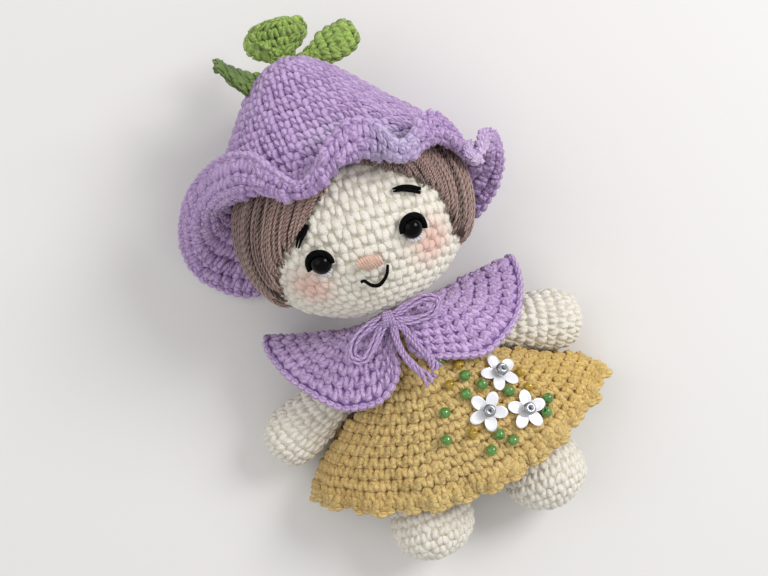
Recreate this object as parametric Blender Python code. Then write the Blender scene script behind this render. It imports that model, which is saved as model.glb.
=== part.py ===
# Amigurumi doll with a bell-flower hat, lying on its back.
# Metres. +Y runs to the top of the head, +X to the viewer's right, +Z out of the face.
import math

import bpy
import bmesh
import numpy as np
from mathutils import Matrix, Vector

mm = 0.001
gap = 0.3 * mm                 # running gap between pieces that touch
fabric = 2.4 * mm              # thickness of single crochet
floor_cut = 0.5 * mm           # depth of the flat where the back lies on a table

# Head: a flattened ball of crochet, leaning a little to the viewer's right
head_half_width = 42 * mm
head_half_height = 36.5 * mm
head_half_depth = 34 * mm
head_rise = 39.5 * mm
head_forward = 28 * mm
head_side = 0.5 * mm
head_lean = math.radians(7)
neck_hole = 7.5 * mm
skin = 2.6 * mm

# Hair: long stitches laid over the head
hair_thickness = 1.8 * mm
hair_top_share = 0.62
hair_columns = 16

# Face
eye_width = 7.5 * mm
eye_dome = 3.6 * mm
eye_stem = 2.6 * mm
eye_stem_length = 8.5 * mm
washer_width = 10.5 * mm
washer_thickness = 1.5 * mm
washer_seat = 1.2 * mm         # the skin's curve under the flat washer
stitch_yarn = 1.3 * mm
brow_yarn = 1.7 * mm
lash_reach = 0.9 * mm
nose_width = 8.4 * mm
nose_height = 4.6 * mm
nose_depth = 1.9 * mm

# Hat
crown_height = 61 * mm
hat_line = 18 * mm             # height of the head's centre to the brim's root
hat_ease = 1.0 * mm
crown_sag = 3.6 * mm
crown_shift = 7.5 * mm         # the top sits this far to the left
hat_columns = 56
calyx_radius = 6 * mm
calyx_height = 2.6 * mm
calyx_place = (-7.5 * mm, 59.2 * mm, -8.5 * mm)
calyx_tilt = math.radians(34)  # the leaves' seat looks this far towards the back
leaf_thickness = 3.8 * mm
leaf_length = 25 * mm

# Torso, arms and legs
torso_length = 54.5 * mm
torso_half_width = 23 * mm
torso_half_depth = 15.2 * mm
torso_rise = 21 * mm
neck_rise = 25 * mm
shoulder_side = 19 * mm
shoulder_drop = 52.5 * mm      # from the head's centre down to the shoulder line
shoulder_rise = 20 * mm
shoulder_radius = 8 * mm
hand_radius = 11.7 * mm
hand_side = 53.5 * mm
hand_fall = 12.5 * mm          # how far the hand lies below the shoulder line
hand_rise = 12.1 * mm
hip_radius = 10.5 * mm
hip_side = 23 * mm
hip_drop = 89 * mm
hip_rise = 16.3 * mm
hip_middle = 4 * mm
foot_radius = 16 * mm
leg_reach = 130 * mm           # from the head's centre to the soles

arm_lift = math.radians(12)    # how far an arm swings up before the collar holds it
armhole_ease = 1.2 * mm
armhole_swing = 4.2 * mm       # how much wider the hole is in the plane the arm swings in

# Dress
dress_top = 42 * mm            # from the head's centre down to the neckline
dress_side_length = 48 * mm
dress_front_length = 67 * mm
dress_back_length = 58 * mm
dress_half_width = 60.5 * mm
dress_front_rise = 43 * mm
hem_waves = 15
hem_wave = 1.3 * mm
dress_columns = 54
dress_rows = 7

# Collar
collar_reach = 47.5 * mm
collar_top = 37.5 * mm         # from the head's centre down to the neck edge
collar_neck_width = 13.8 * mm
collar_neck_depth = 15.4 * mm
collar_neck_rise = 26 * mm
collar_front_rise = 46.4 * mm
collar_side_drop = 17 * mm
collar_fabric = 2.2 * mm
collar_columns = 40
collar_rows = 5

# Bow
bow_yarn = 1.7 * mm
bow_knot = 2.9 * mm
bow_loop = 15 * mm

# Beads and sequins on the skirt
bead_radius = 2.0 * mm
bead_hole = 0.55 * mm
bead_length_share = 0.8
centre_length_share = 0.7
amber_radius = 1.75 * mm
sequin_radius = 7.4 * mm
sequin_thickness = 0.35 * mm
sequin_lift = 1.0 * mm
sequin_points = 25
centre_radius = 1.9 * mm

finishes = {
    "cream_yarn": ((0.74, 0.70, 0.59), 0.9, 0.0),
    "hair_yarn": ((0.30, 0.19, 0.15), 0.6, 0.0),
    "lilac_yarn": ((0.45, 0.30, 0.60), 0.85, 0.0),
    "leaf_yarn": ((0.17, 0.32, 0.04), 0.7, 0.0),
    "dress_yarn": ((0.68, 0.37, 0.09), 0.9, 0.0),
    "black_yarn": ((0.01, 0.01, 0.01), 0.8, 0.0),
    "white_yarn": ((0.80, 0.79, 0.78), 0.8, 0.0),
    "peach_yarn": ((0.79, 0.42, 0.29), 0.7, 0.0),
    "stuffing": ((0.85, 0.85, 0.84), 1.0, 0.0),
    "black_plastic": ((0.004, 0.004, 0.005), 0.08, 0.0),
    "white_plastic": ((0.80, 0.80, 0.78), 0.4, 0.0),
    "pearl_white": ((0.88, 0.88, 0.90), 0.18, 0.1),
    "silver_bead": ((0.60, 0.61, 0.63), 0.12, 0.8),
    "green_glass": ((0.06, 0.32, 0.04), 0.12, 0.0),
    "amber_glass": ((0.50, 0.24, 0.01), 0.08, 0.0),
}


def clear_scene():
    for old in list(bpy.data.objects):
        bpy.data.objects.remove(old, do_unlink=True)


def finish(name):
    if name in bpy.data.materials:
        return bpy.data.materials[name]
    colour, roughness, metallic = finishes[name]
    material = bpy.data.materials.new(name)
    material.use_nodes = True
    shader = material.node_tree.nodes["Principled BSDF"]
    shader.inputs["Base Color"].default_value = (*colour, 1)
    shader.inputs["Roughness"].default_value = roughness
    shader.inputs["Metallic"].default_value = metallic
    return material


def pivot(name, place, parent=None):
    empty = bpy.data.objects.new(name, None)
    bpy.context.scene.collection.objects.link(empty)
    empty.location = place
    if parent:
        empty.parent = parent
        empty.matrix_parent_inverse = Matrix.Translation(-parent.location)
        empty.location = place
    return empty


def put(name, data, look, parent):
    """Link a new object whose data is in the doll's frame, hung from its body's pivot."""
    piece = bpy.data.objects.new(name, data)
    bpy.context.scene.collection.objects.link(piece)
    data.materials.append(finish(look))
    hang(piece, parent)
    return piece


def hang(piece, parent):
    piece.parent = parent
    piece.matrix_parent_inverse = Matrix.Translation(-parent.location)


def ring_mesh(rings, wrap=False):
    """Quads between rings of points; a ring of one point is a pole."""
    mesh = bmesh.new()
    rows = [[mesh.verts.new(point) for point in ring] for ring in rings]
    pairs = list(zip(rows, rows[1:] + rows[:1] if wrap else rows[1:]))
    for low, high in pairs:
        count = max(len(low), len(high))
        for i in range(count):
            j = (i + 1) % count
            if len(low) == 1:
                mesh.faces.new((low[0], high[j], high[i]))
            elif len(high) == 1:
                mesh.faces.new((low[i], low[j], high[0]))
            else:
                mesh.faces.new((low[i], low[j], high[j], high[i]))
    if not wrap:
        for row in (rows[0], rows[-1]):
            if len(row) > 2:
                centre = mesh.verts.new(sum((v.co for v in row), Vector()) / len(row))
                for i in range(len(row)):
                    mesh.faces.new((row[i], row[(i + 1) % len(row)], centre))
    bmesh.ops.recalc_face_normals(mesh, faces=mesh.faces)
    return to_mesh(mesh)


def grid_mesh(grid, wrap):
    """An open sheet of quads over a rows x columns x 3 grid."""
    mesh = bmesh.new()
    rows = []
    for line in grid:
        if np.ptp(line, axis=0).max() == 0:
            rows.append([mesh.verts.new(line[0])] * len(line))
        else:
            rows.append([mesh.verts.new(point) for point in line])
    columns = len(rows[0]) if wrap else len(rows[0]) - 1
    for low, high in zip(rows, rows[1:]):
        for i in range(columns):
            j = (i + 1) % len(low)
            corners = [low[j], low[i], high[i], high[j]]
            corners = [v for k, v in enumerate(corners) if v not in corners[:k]]
            mesh.faces.new(corners)
    return to_mesh(mesh)


def to_mesh(mesh):
    data = bpy.data.meshes.new("shape")
    mesh.to_mesh(data)
    mesh.free()
    data.shade_smooth()
    return data


def thicken(piece, thickness, side):
    """Give a sheet its thickness on one side of its faces."""
    solid = piece.modifiers.new("thickness", "SOLIDIFY")
    solid.thickness = thickness
    solid.offset = side
    solid.use_even_offset = False
    return solid


def carve(piece, cutter):
    cutter.hide_render = True
    cutter.display_type = "WIRE"
    cut = piece.modifiers.new("cut", "BOOLEAN")
    cut.operation = "DIFFERENCE"
    cut.solver = "EXACT"
    cut.object = cutter


def frame_along(start, end, front=Vector((0, 0, 1))):
    """A matrix with its Y axis from start to end and its Z axis near front."""
    along = (end - start).normalized()
    side = along.cross(front).normalized()
    up = side.cross(along)
    turn = Matrix((side, along, up)).transposed()
    return Matrix.Translation(start) @ turn.to_4x4()


def stuffed(profile, length, half_width, half_depth, place, sides=20, bend=0.0):
    """A stuffed form: rings along Y, from (place share, width share) pairs, bent by a parabola."""
    rings = []
    for along_share, width_share in profile:
        y = length * along_share
        lift = bend * along_share ** 2
        if width_share == 0:
            rings.append([place @ Vector((0, y, lift))])
            continue
        ring = []
        for i in range(sides):
            t = 2 * math.pi * i / sides
            x = half_width * width_share * math.sin(t)
            z = half_depth * width_share * math.cos(t) + lift
            ring.append(place @ Vector((x, y, z)))
        rings.append(ring)
    return ring_mesh(rings)


def ball_profile(rows):
    """Shares of a ball from pole to pole: place 0 to 1, width up to 1."""
    turns = [math.pi * i / rows for i in range(rows + 1)]
    return [((1 - math.cos(t)) / 2, 0 if i in (0, rows) else math.sin(t)) for i, t in enumerate(turns)]


def lathe(profile, place, sides=16):
    """A turned solid: profile of (radius, height) from axis to axis, about the place's Z axis."""
    rings = []
    for radius, height in profile:
        if radius == 0:
            rings.append([place @ Vector((0, 0, height))])
        else:
            turns = [2 * math.pi * i / sides for i in range(sides)]
            rings.append([place @ Vector((radius * math.sin(t), radius * math.cos(t), height)) for t in turns])
    return ring_mesh(rings)


def ring_lathe(outer, hole, half_height, place, sides, round_steps):
    """A bead: a ring with a rounded wall, about the place's Z axis."""
    middle = (outer + hole) / 2
    reach = (outer - hole) / 2
    rings = []
    for i in range(round_steps):
        t = 2 * math.pi * (i + 0.5) / round_steps
        radius = middle + reach * math.cos(t)
        height = half_height * math.sin(t)
        turns = [2 * math.pi * j / sides for j in range(sides)]
        rings.append([place @ Vector((radius * math.sin(u), radius * math.cos(u), height)) for u in turns])
    return ring_mesh(rings, wrap=True)


def tube_mesh(points, radius, cyclic=False, sides=7):
    """A round tube along points, with its cross-section carried square to the path."""
    points = [Vector(point) for point in points]
    count = len(points)
    rings = []
    up = Vector((0, 0, 1))
    for i, point in enumerate(points):
        after = points[(i + 1) % count] if cyclic else points[min(i + 1, count - 1)]
        before = points[i - 1] if cyclic or i else point
        along = (after - before).normalized()
        side = along.cross(up).normalized()
        rise = side.cross(along)
        turns = [2 * math.pi * j / sides for j in range(sides)]
        rings.append([point + (side * math.cos(t) + rise * math.sin(t)) * radius for t in turns])
    return ring_mesh(rings, wrap=cyclic)


def yarn_tube(name, points, radius, look, parent, cyclic=False):
    return put(name, tube_mesh(points, radius, cyclic), look, parent)


def smooth_line(knots, count):
    """Points on a Catmull-Rom curve through the knots."""
    knots = np.array(knots, float)
    padded = np.vstack([2 * knots[0] - knots[1], knots, 2 * knots[-1] - knots[-2]])
    where = np.linspace(0, len(knots) - 1, count)
    step = np.minimum(where.astype(int), len(knots) - 2)
    t = (where - step)[:, None]
    a, b, c, d = (padded[step + i] for i in range(4))
    return 0.5 * (2 * b + (c - a) * t + (2 * a - 5 * b + 4 * c - d) * t ** 2 + (3 * b - a - 3 * c + d) * t ** 3)


def blend_table(table, where):
    """Smooth values at places along a table of (place, value, ...) rows."""
    table = np.array(table, float)
    places = table[:, 0]
    dense = smooth_line(table, 40 * len(table))
    order = np.argsort(dense[:, 0])
    return np.stack([np.interp(where, dense[order, 0], dense[order, i]) for i in range(1, table.shape[1])], -1)


def round_table(table, where):
    """As blend_table, for a table that closes on itself after 360 degrees."""
    rows = [tuple(row) for row in table]
    before = [(row[0] - 360, *row[1:]) for row in rows[-3:]]
    after = [(row[0] + 360, *row[1:]) for row in rows[:3]]
    return blend_table(before + rows + after, where)


# Places in the doll's frame
head_centre = Vector((head_side, head_forward, head_rise))
head_frame = Matrix.Translation(head_centre) @ Matrix.Rotation(-head_lean, 4, "Z")


def below_head(side, drop, rise):
    return Vector((side, head_forward - drop, rise))


def head_point(longitude, latitude, lift=0.0):
    """A point on the head, lifted off it; longitude 0 is the face and latitude 90 the crown."""
    normal = head_normal(longitude, latitude)
    spot = Vector((
        head_half_width * math.cos(latitude) * math.sin(longitude),
        head_half_height * math.sin(latitude),
        head_half_depth * math.cos(latitude) * math.cos(longitude)))
    return head_frame @ (spot + normal * lift)


def head_normal(longitude, latitude):
    return Vector((
        math.cos(latitude) * math.sin(longitude) / head_half_width,
        math.sin(latitude) / head_half_height,
        math.cos(latitude) * math.cos(longitude) / head_half_depth)).normalized()


def face_angles(x_share, y_share):
    """Longitude and latitude of a face point given as shares of the head's half width."""
    latitude = math.asin(y_share * head_half_width / head_half_height)
    longitude = math.asin(x_share / math.cos(latitude))
    return longitude, latitude


def on_face(x_share, y_share, lift=0.0):
    return head_point(*face_angles(x_share, y_share), lift)


def face_frame(x_share, y_share, lift=0.0):
    """A matrix on the face with Z along the outward normal and Y towards the crown."""
    longitude, latitude = face_angles(x_share, y_share)
    normal = (head_frame.to_3x3() @ head_normal(longitude, latitude)).normalized()
    crown = head_frame.to_3x3() @ Vector((0, 1, 0))
    side = crown.cross(normal).normalized()
    turn = Matrix((side, normal.cross(side), normal)).transposed()
    return Matrix.Translation(head_point(longitude, latitude, lift)) @ turn.to_4x4()


def head_ball(half_width, half_height, half_depth, rows=12, sides=24, low_radius=0.0):
    """A ball in the head's frame, from the crown down; left open below low_radius."""
    rings = []
    for i in range(rows + 1):
        t = math.pi * i / rows
        if low_radius:
            t = (math.pi - math.asin(low_radius / half_width)) * i / rows
        y = half_height * math.cos(t)
        if i == 0 or (i == rows and not low_radius):
            rings.append(np.array([[0, y, 0]] * sides))
            continue
        u = 2 * math.pi * np.arange(sides) / sides
        reach = math.sin(t)
        rings.append(np.stack([half_width * reach * np.sin(u), 0 * u + y, half_depth * reach * np.cos(u)], 1))
    return rings


def placed(rings, matrix):
    turn = np.array(matrix.to_3x3())
    move = np.array(matrix.translation)
    return [ring @ turn.T + move for ring in rings]


# Head and face
eye_shares = {"left": (-0.345, -0.325), "right": (0.415, -0.265)}
brow_shares = {
    "left": [(-0.475, -0.135), (-0.425, -0.07), (-0.375, -0.025)],
    "right": [(0.365, 0.055), (0.47, 0.045), (0.56, -0.01)],
}
mouth_shares = [(-0.09, -0.555), (-0.035, -0.605), (0.035, -0.608), (0.10, -0.56), (0.14, -0.495)]
nose_shares = (0.02, -0.425)


def make_head(body):
    skin_rings = placed(head_ball(head_half_width, head_half_height, head_half_depth,
                                  low_radius=neck_hole), head_frame)
    head = put("head_skin", grid_mesh(skin_rings, True), "cream_yarn", body)
    thicken(head, skin, -1)
    inset = skin + 3 * gap
    core = placed(head_ball(head_half_width - inset, head_half_height - inset, head_half_depth - inset,
                            rows=8, sides=16), head_frame)
    rings = [[ring[0]] if i in (0, len(core) - 1) else list(ring) for i, ring in enumerate(core)]
    stuffing = put("head_stuffing", ring_mesh(rings), "stuffing", body)
    for side, spot in eye_shares.items():
        make_eye(side, spot, head, stuffing, body)
    for side, spots in brow_shares.items():
        points = smooth_line([on_face(*spot, brow_yarn / 2 + gap) for spot in spots], 7)
        yarn_tube(f"brow_{side}", points, brow_yarn / 2, "black_yarn", body)
    points = smooth_line([on_face(*spot, stitch_yarn / 2 + gap) for spot in mouth_shares], 13)
    yarn_tube("mouth", points, stitch_yarn / 2, "black_yarn", body)
    place = face_frame(*nose_shares, gap)
    half = nose_width / 2
    squash = Matrix.Diagonal((1, nose_height / nose_width, 1, 1))
    button = [(half * math.sin(t), nose_depth * math.cos(t)) for t in np.linspace(0, math.pi / 2, 6)]
    nose = lathe([(0, nose_depth)] + button[1:] + [(0, 0)], place @ squash, 20)
    put("nose", nose, "peach_yarn", body)
    return head


def make_eye(side, spot, head, stuffing, body):
    """A safety eye: dome and stem outside, washer inside the skin, stitched lash and white."""
    place = face_frame(*spot)
    radius = eye_width / 2
    stem = eye_stem / 2
    dome = [(radius * math.sin(t), gap + eye_dome * math.cos(t)) for t in np.linspace(0, math.pi / 2, 7)]
    profile = [(0, gap + eye_dome)] + dome[1:] + [(stem, gap), (stem, -eye_stem_length), (0, -eye_stem_length)]
    put(f"eye_{side}", lathe(profile, place), "black_plastic", body)
    hole = put(f"eye_hole_{side}", lathe([(0, skin), (stem + gap, skin), (stem + gap, -2 * skin), (0, -2 * skin)],
                                         place), "cream_yarn", body)
    carve(head, hole)
    seat = -skin - washer_seat
    low = seat - washer_thickness
    put(f"washer_{side}", ring_lathe_flat(washer_width / 2, stem + gap, seat, low, place), "white_plastic", body)
    pocket = [(0, 0), (washer_width / 2 + gap, 0), (washer_width / 2 + gap, low - gap),
              (stem + gap, low - gap), (stem + gap, -eye_stem_length - gap), (0, -eye_stem_length - gap)]
    carve(stuffing, put(f"eye_pocket_{side}", lathe(pocket, place), "stuffing", body))
    ring = radius + stitch_yarn / 2 + gap
    sign = -1 if side == "left" else 1
    lash = [place @ Vector((sign * (ring + reach) * math.sin(t), (ring + reach) * math.cos(t), stitch_yarn / 2 + lift))
            for t, reach, lift in lash_path()]
    yarn_tube(f"lash_{side}", lash, stitch_yarn / 2, "black_yarn", body)
    white = [place @ Vector((-sign * ring * math.sin(t), ring * math.cos(t), stitch_yarn / 2 + gap / 2))
             for t in np.radians(np.linspace(62, 232, 9))]
    yarn_tube(f"eye_white_{side}", white, stitch_yarn / 2, "white_yarn", body)


def lash_path():
    """Angle from the top, extra reach and lift of the lash's points, out to its flick."""
    turns = np.radians(np.linspace(-38, 92, 9))
    rise = np.linspace(0, 1, 9) ** 3
    return [(t, lash_reach * r, gap * (1 - r)) for t, r in zip(turns, rise)]


def ring_lathe_flat(outer, hole, top, low, place, sides=14):
    rings = []
    for radius, height in ((hole, top), (outer, top), (outer, low), (hole, low)):
        turns = [2 * math.pi * i / sides for i in range(sides)]
        rings.append([place @ Vector((radius * math.sin(t), radius * math.cos(t), height)) for t in turns])
    return ring_mesh(rings, wrap=True)


# The hairline: longitude in degrees, then height as a share of the head's half height
hairline_shares = {
    "left": [(-118, -0.58), (-96, -0.58), (-80, -0.54), (-62, -0.40), (-44, -0.24), (-31, -0.10), (-20, 0.06),
             (-10, 0.22), (-2, 0.40)],
    "right": [(12, 0.50), (20, 0.30), (30, 0.20), (42, 0.12), (52, -0.08), (60, -0.30), (74, -0.44), (96, -0.52),
              (118, -0.58)],
    "back": [(119.5, -0.58), (150, -0.60), (180, -0.58), (210, -0.60), (240.5, -0.58)],
}
hair_column_shares = {"left": 1.0, "right": 0.94, "back": 0.88}


def make_hair(body):
    for part, line in hairline_shares.items():
        columns = round(hair_columns * hair_column_shares[part])
        turns = np.linspace(line[0][0], line[-1][0], columns + 1)
        ends = blend_table(line, turns)[:, 0]
        rows = []
        for step in np.linspace(0, 1, 8):
            heights = hair_top_share + (ends - hair_top_share) * step
            rows.append(np.array([head_point(math.radians(turn), math.asin(height), 2 * gap)
                                  for turn, height in zip(turns, heights)]))
        hair = put(f"hair_{part}", grid_mesh(rows, False), "hair_yarn", body)
        thicken(hair, hair_thickness, 1)


# Hat. The rim: angle about the head's axis, then x, y, z as shares of the head's half width
rim_shares = [
    (-176, -0.10, -0.10, -0.925), (-158, -0.62, -0.22, -0.925), (-140, -1.10, -0.34, -0.89),
    (-128, -1.40, -0.16, -0.83), (-118, -1.53, 0.05, -0.73), (-107, -1.49, 0.30, -0.46), (-92, -1.29, 0.56, -0.11),
    (-72, -1.00, 0.69, 0.26), (-53, -0.77, 0.69, 0.52), (-42, -0.60, 0.61, 0.68), (-33, -0.50, 0.46, 0.82),
    (-22, -0.34, 0.27, 0.94), (-13, -0.17, 0.31, 1.00), (-4, -0.02, 0.49, 1.03), (8, 0.18, 0.61, 1.02),
    (17, 0.34, 0.55, 0.99), (25, 0.47, 0.36, 0.96), (33, 0.62, 0.39, 0.88), (42, 0.75, 0.53, 0.77),
    (52, 0.88, 0.48, 0.64), (64, 1.00, 0.24, 0.46), (78, 1.13, 0.10, 0.22), (92, 1.24, 0.34, -0.06),
    (104, 1.37, 0.33, -0.32), (116, 1.38, 0.10, -0.58), (127, 1.24, -0.12, -0.76), (140, 1.00, -0.26, -0.88),
    (158, 0.55, -0.14, -0.925),
]
# The crown: height above the head's centre and radius, as shares from the root of the brim to the top
crown_shares = [(0.0, 1.0), (0.17, 0.915), (0.36, 0.775), (0.55, 0.62), (0.72, 0.475), (0.86, 0.34), (0.95, 0.21)]
brim_rows = 5
brim_dip_share = 0.24
brim_swell_share = 0.065


def hat_root():
    """Half width and half depth of the hat's outside where the brim starts."""
    cover = 2 * gap + hair_thickness
    level = math.sqrt(1 - (hat_line / (head_half_height + cover)) ** 2)
    wall = hat_ease + fabric
    return (head_half_width + cover) * level + wall, (head_half_depth + cover) * level + wall


def crown_rings(grow=0.0):
    """Rings of the crown's outside from its top down to the root of the brim."""
    width, depth = hat_root()
    u = np.radians(np.linspace(-180, 180, hat_columns, endpoint=False))
    rows = [np.array([[-crown_shift, crown_height + grow, 0]] * hat_columns)]
    for height_share, radius_share in reversed(crown_shares):
        y = hat_line + (crown_height - hat_line) * height_share
        lean = -crown_sag * math.sin(math.pi * height_share) - crown_shift * height_share ** 2
        rows.append(np.stack([(width * radius_share + grow) * np.sin(u) + lean, 0 * u + y,
                              (depth * radius_share + grow) * np.cos(u)], 1))
    return rows


def make_hat(body):
    rows = crown_rings()
    root = rows[-1]
    rim = round_table(rim_shares, np.linspace(-180, 180, hat_columns, endpoint=False)) * head_half_width
    for step in np.linspace(0, 1, brim_rows + 1)[1:]:
        swell = math.sin(math.pi * step)
        row = root * (1 - step) + rim * step
        row[:, 1] -= hat_line * brim_dip_share * swell
        row[:, [0, 2]] *= 1 + brim_swell_share * swell
        rows.append(row)
    grid = placed(rows, head_frame)
    for line in grid:
        line[:, 2] = np.maximum(line[:, 2], 0)
    hat = put("hat", grid_mesh(grid, True), "lilac_yarn", body)
    thicken(hat, fabric, -1)
    make_calyx(body)


# Leaves, in shares of their length: tip from the seat and way the face looks, both in the hat's
# frame, then width and curl
leaf_shares = {
    "centre": ((0.04, 0.61, 0.28), (0, -0.25, 1), 0.88, 0.04),
    "right": ((1.0, 0.16, 0.2), (0.1, 0.2, 1), 0.56, 0.08),
    "left": ((-0.84, -0.14, 0.14), (0, 0.42, 0.9), 0.6, 0.8),
    "back_left": ((-0.4, 0.76, -0.2), (0, -0.1, 1), 0.52, -0.04),
    "back": ((-0.36, -0.30, -0.66), (0.3, 0.7, -0.4), 0.52, 0.08),
}
leaf_profile_shares = [(0, 0), (0.03, 0.34), (0.2, 0.50), (0.40, 0.84), (0.62, 1.0), (0.84, 0.86), (0.95, 0.56), (1, 0)]
leaf_seat_share = 0.6


def make_calyx(body):
    seat = head_frame @ Matrix.Translation(calyx_place)
    place = seat @ Matrix.Rotation(-math.pi / 2 - calyx_tilt, 4, "X")
    cover = [(calyx_radius * math.cos(t), calyx_height * math.sin(t)) for t in np.linspace(0, math.pi / 2, 6)]
    put("calyx_base", lathe([(0, 0)] + cover[:-1] + [(0, calyx_height)], place), "leaf_yarn", body)
    grown = [((calyx_radius + gap) * math.cos(t), (calyx_height + gap) * math.sin(t))
             for t in np.linspace(0, math.pi / 2, 6)]
    base_room = put("calyx_clearance", lathe([(0, -fabric), (calyx_radius + gap, -fabric)] + grown[:-1]
                                             + [(0, calyx_height + gap)], place), "leaf_yarn", body)
    crown = placed(crown_rings(gap), head_frame)
    crown_room = put("crown_clearance", ring_mesh([[crown[0][0]]] + [list(ring) for ring in crown[1:]]), "leaf_yarn", body)
    for name, (tip, front, width, curl) in leaf_shares.items():
        turned = seat.to_3x3()
        way = turned @ Vector(tip) * leaf_length
        start = seat.translation + way.normalized() * calyx_radius * leaf_seat_share
        leaf_frame = frame_along(start, start + way, turned @ Vector(front))
        leaf = stuffed(leaf_profile_shares, way.length, width * leaf_length / 2, leaf_thickness / 2, leaf_frame, 12,
                       curl * leaf_length)
        piece = put(f"leaf_{name}", leaf, "leaf_yarn", body)
        carve(piece, base_room)
        carve(piece, crown_room)


# Torso and limbs
torso_shares = [(0, 0), (0.0001, 0.40), (0.10, 0.43), (0.22, 0.63), (0.38, 0.80), (0.56, 0.93), (0.72, 1.0), (0.86, 0.93),
                (0.96, 0.6), (1, 0)]
arm_shares = [(0, 0), (0.04, 0.39), (0.13, 0.63), (0.26, 0.70), (0.5, 0.82), (0.7, 0.97), (0.82, 1.0), (0.92, 0.84),
              (0.98, 0.46), (1, 0)]
leg_shares = [(0, 0), (0.03, 0.34), (0.11, 0.57), (0.22, 0.655), (0.38, 0.70), (0.48, 0.74), (0.6, 0.9), (0.73, 1.0),
              (0.86, 0.9), (0.95, 0.6), (0.99, 0.27), (1, 0)]


def shoulder(sign):
    return below_head(sign * shoulder_side, shoulder_drop, shoulder_rise)


def hand(sign):
    return below_head(sign * hand_side, shoulder_drop + hand_fall, hand_rise)


def hip(sign):
    return below_head(hip_middle + sign * hip_side, hip_drop, hip_rise)


def arm_mesh(sign, grow=0.0, swing=0.0):
    """An arm, or with grow and swing the room it needs."""
    start, end = shoulder(sign), hand(sign)
    along = (end - start).normalized()
    first = start - along * (shoulder_radius + grow)
    last = end + along * (hand_radius + grow)
    place = frame_along(first, last)
    reach = hand_radius + grow
    return stuffed(arm_shares, (last - first).length, reach + swing, reach, place, 18)


def arm_room(sign, grow):
    """The room an arm sweeps, from rest to raised."""
    room = arm_mesh(sign, grow, armhole_swing)
    half_way = Matrix.Rotation(sign * arm_lift / 2, 4, "Z")
    room.transform(Matrix.Translation(shoulder(sign)) @ half_way @ Matrix.Translation(-shoulder(sign)))
    return room


def ball_mesh(centre, radius, sides=18, rows=10):
    place = Matrix.Translation(centre - Vector((0, radius, 0)))
    return stuffed(ball_profile(rows), 2 * radius, radius, radius, place, sides)


def make_torso(body):
    start = below_head(0, head_half_height - floor_cut, neck_rise)
    end = Vector((hip_middle / 2, start.y - torso_length, torso_rise))
    torso = put("torso", stuffed(torso_shares, torso_length, torso_half_width, torso_half_depth,
                                 frame_along(start, end), 24), "cream_yarn", body)
    grow = 2 * gap
    rings = placed(head_ball(head_half_width + grow, head_half_height + grow, head_half_depth + grow), head_frame)
    rings = [[ring[0]] if i in (0, len(rings) - 1) else list(ring) for i, ring in enumerate(rings)]
    carve(torso, put("head_clearance", ring_mesh(rings), "cream_yarn", body))
    for side, sign in (("left", -1), ("right", 1)):
        carve(torso, put(f"shoulder_socket_{side}", arm_room(sign, gap), "cream_yarn", body))
        carve(torso, put(f"hip_socket_{side}", ball_mesh(hip(sign), hip_radius + 2 * gap), "cream_yarn", body))


def make_arm(side, sign, body):
    put(f"arm_{side}", arm_mesh(sign), "cream_yarn", body)


def make_leg(side, sign, body):
    top = hip(sign) + Vector((0, hip_radius, 0))
    sole = Vector((top.x + sign * gap, head_forward - leg_reach, hip_rise))
    length = (sole - top).length
    put(f"leg_{side}", stuffed(leg_shares, length, foot_radius, foot_radius, frame_along(top, sole), 22),
        "cream_yarn", body)


# Dress: place down the side, then half width, side rise, front rise and back rise as shares of the
# half width at the hem
dress_shares = [
    (0.0, 0.265, 0.41, 0.645, 0.20), (0.2, 0.345, 0.36, 0.69, 0.105), (0.4, 0.44, 0.27, 0.715, 0.053),
    (0.55, 0.59, 0.22, 0.73, 0.02), (0.7, 0.78, 0.17, 0.735, 0.0), (0.85, 0.92, 0.14, 0.73, -0.02),
    (1.0, 1.0, 0.13, 0.70, -0.02),
]


def dress_point(down, turn, lift=0.0):
    """A point on the dress: down 0 at the neck to 1 at the hem, turn 0 at the front."""
    width, side, front, back = (blend_table(dress_shares, np.array([down]))[0]) * dress_half_width
    front = front * dress_front_rise / (0.735 * dress_half_width)
    cosine, sine = math.cos(turn), math.sin(turn)
    rise = side + (front - side) * cosine if cosine > 0 else side + (side - back) * cosine
    reach = dress_front_length if cosine > 0 else dress_back_length
    length = reach + (dress_side_length - reach) * abs(sine) ** 2
    wave = hem_wave * down ** 6 * math.sin(hem_waves * turn)
    x = hip_middle * down + (width + wave) * sine
    y = head_forward - dress_top - length * down
    return Vector((x, y, max(rise + wave * cosine, 0) + lift))


def make_dress(body):
    rows = []
    for down in np.linspace(0, 1, dress_rows + 1):
        turns = 2 * math.pi * np.arange(dress_columns) / dress_columns
        rows.append(np.array([dress_point(down, turn) for turn in turns]))
    dress = put("dress", grid_mesh(rows, True), "dress_yarn", body)
    thicken(dress, fabric, -1)
    for side, sign in (("left", -1), ("right", 1)):
        carve(dress, put(f"armhole_{side}", arm_room(sign, armhole_ease), "dress_yarn", body))


# Collar edge: angle about the neck, then x and y as shares of the collar's reach from the neck
collar_edge_shares = {
    "right": [(10, 0.01, -0.26), (18, 0.08, -0.38), (28, 0.21, -0.43), (42, 0.48, -0.53), (52, 0.66, -0.49),
              (64, 0.85, -0.38), (76, 0.98, -0.19), (84, 1.02, -0.04), (90, 1.00, 0.04), (104, 0.93, -0.05),
              (124, 0.74, -0.30), (150, 0.42, -0.46), (180, 0.0, -0.50)],
    "left": [(10, -0.14, -0.30), (18, -0.21, -0.44), (28, -0.36, -0.54), (42, -0.53, -0.53), (52, -0.69, -0.46),
             (64, -0.92, -0.16), (76, -1.01, 0.06), (84, -1.03, 0.18), (90, -0.99, 0.23), (104, -0.91, 0.10),
             (124, -0.74, -0.26), (150, -0.42, -0.46), (180, 0.0, -0.50)],
}


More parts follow.
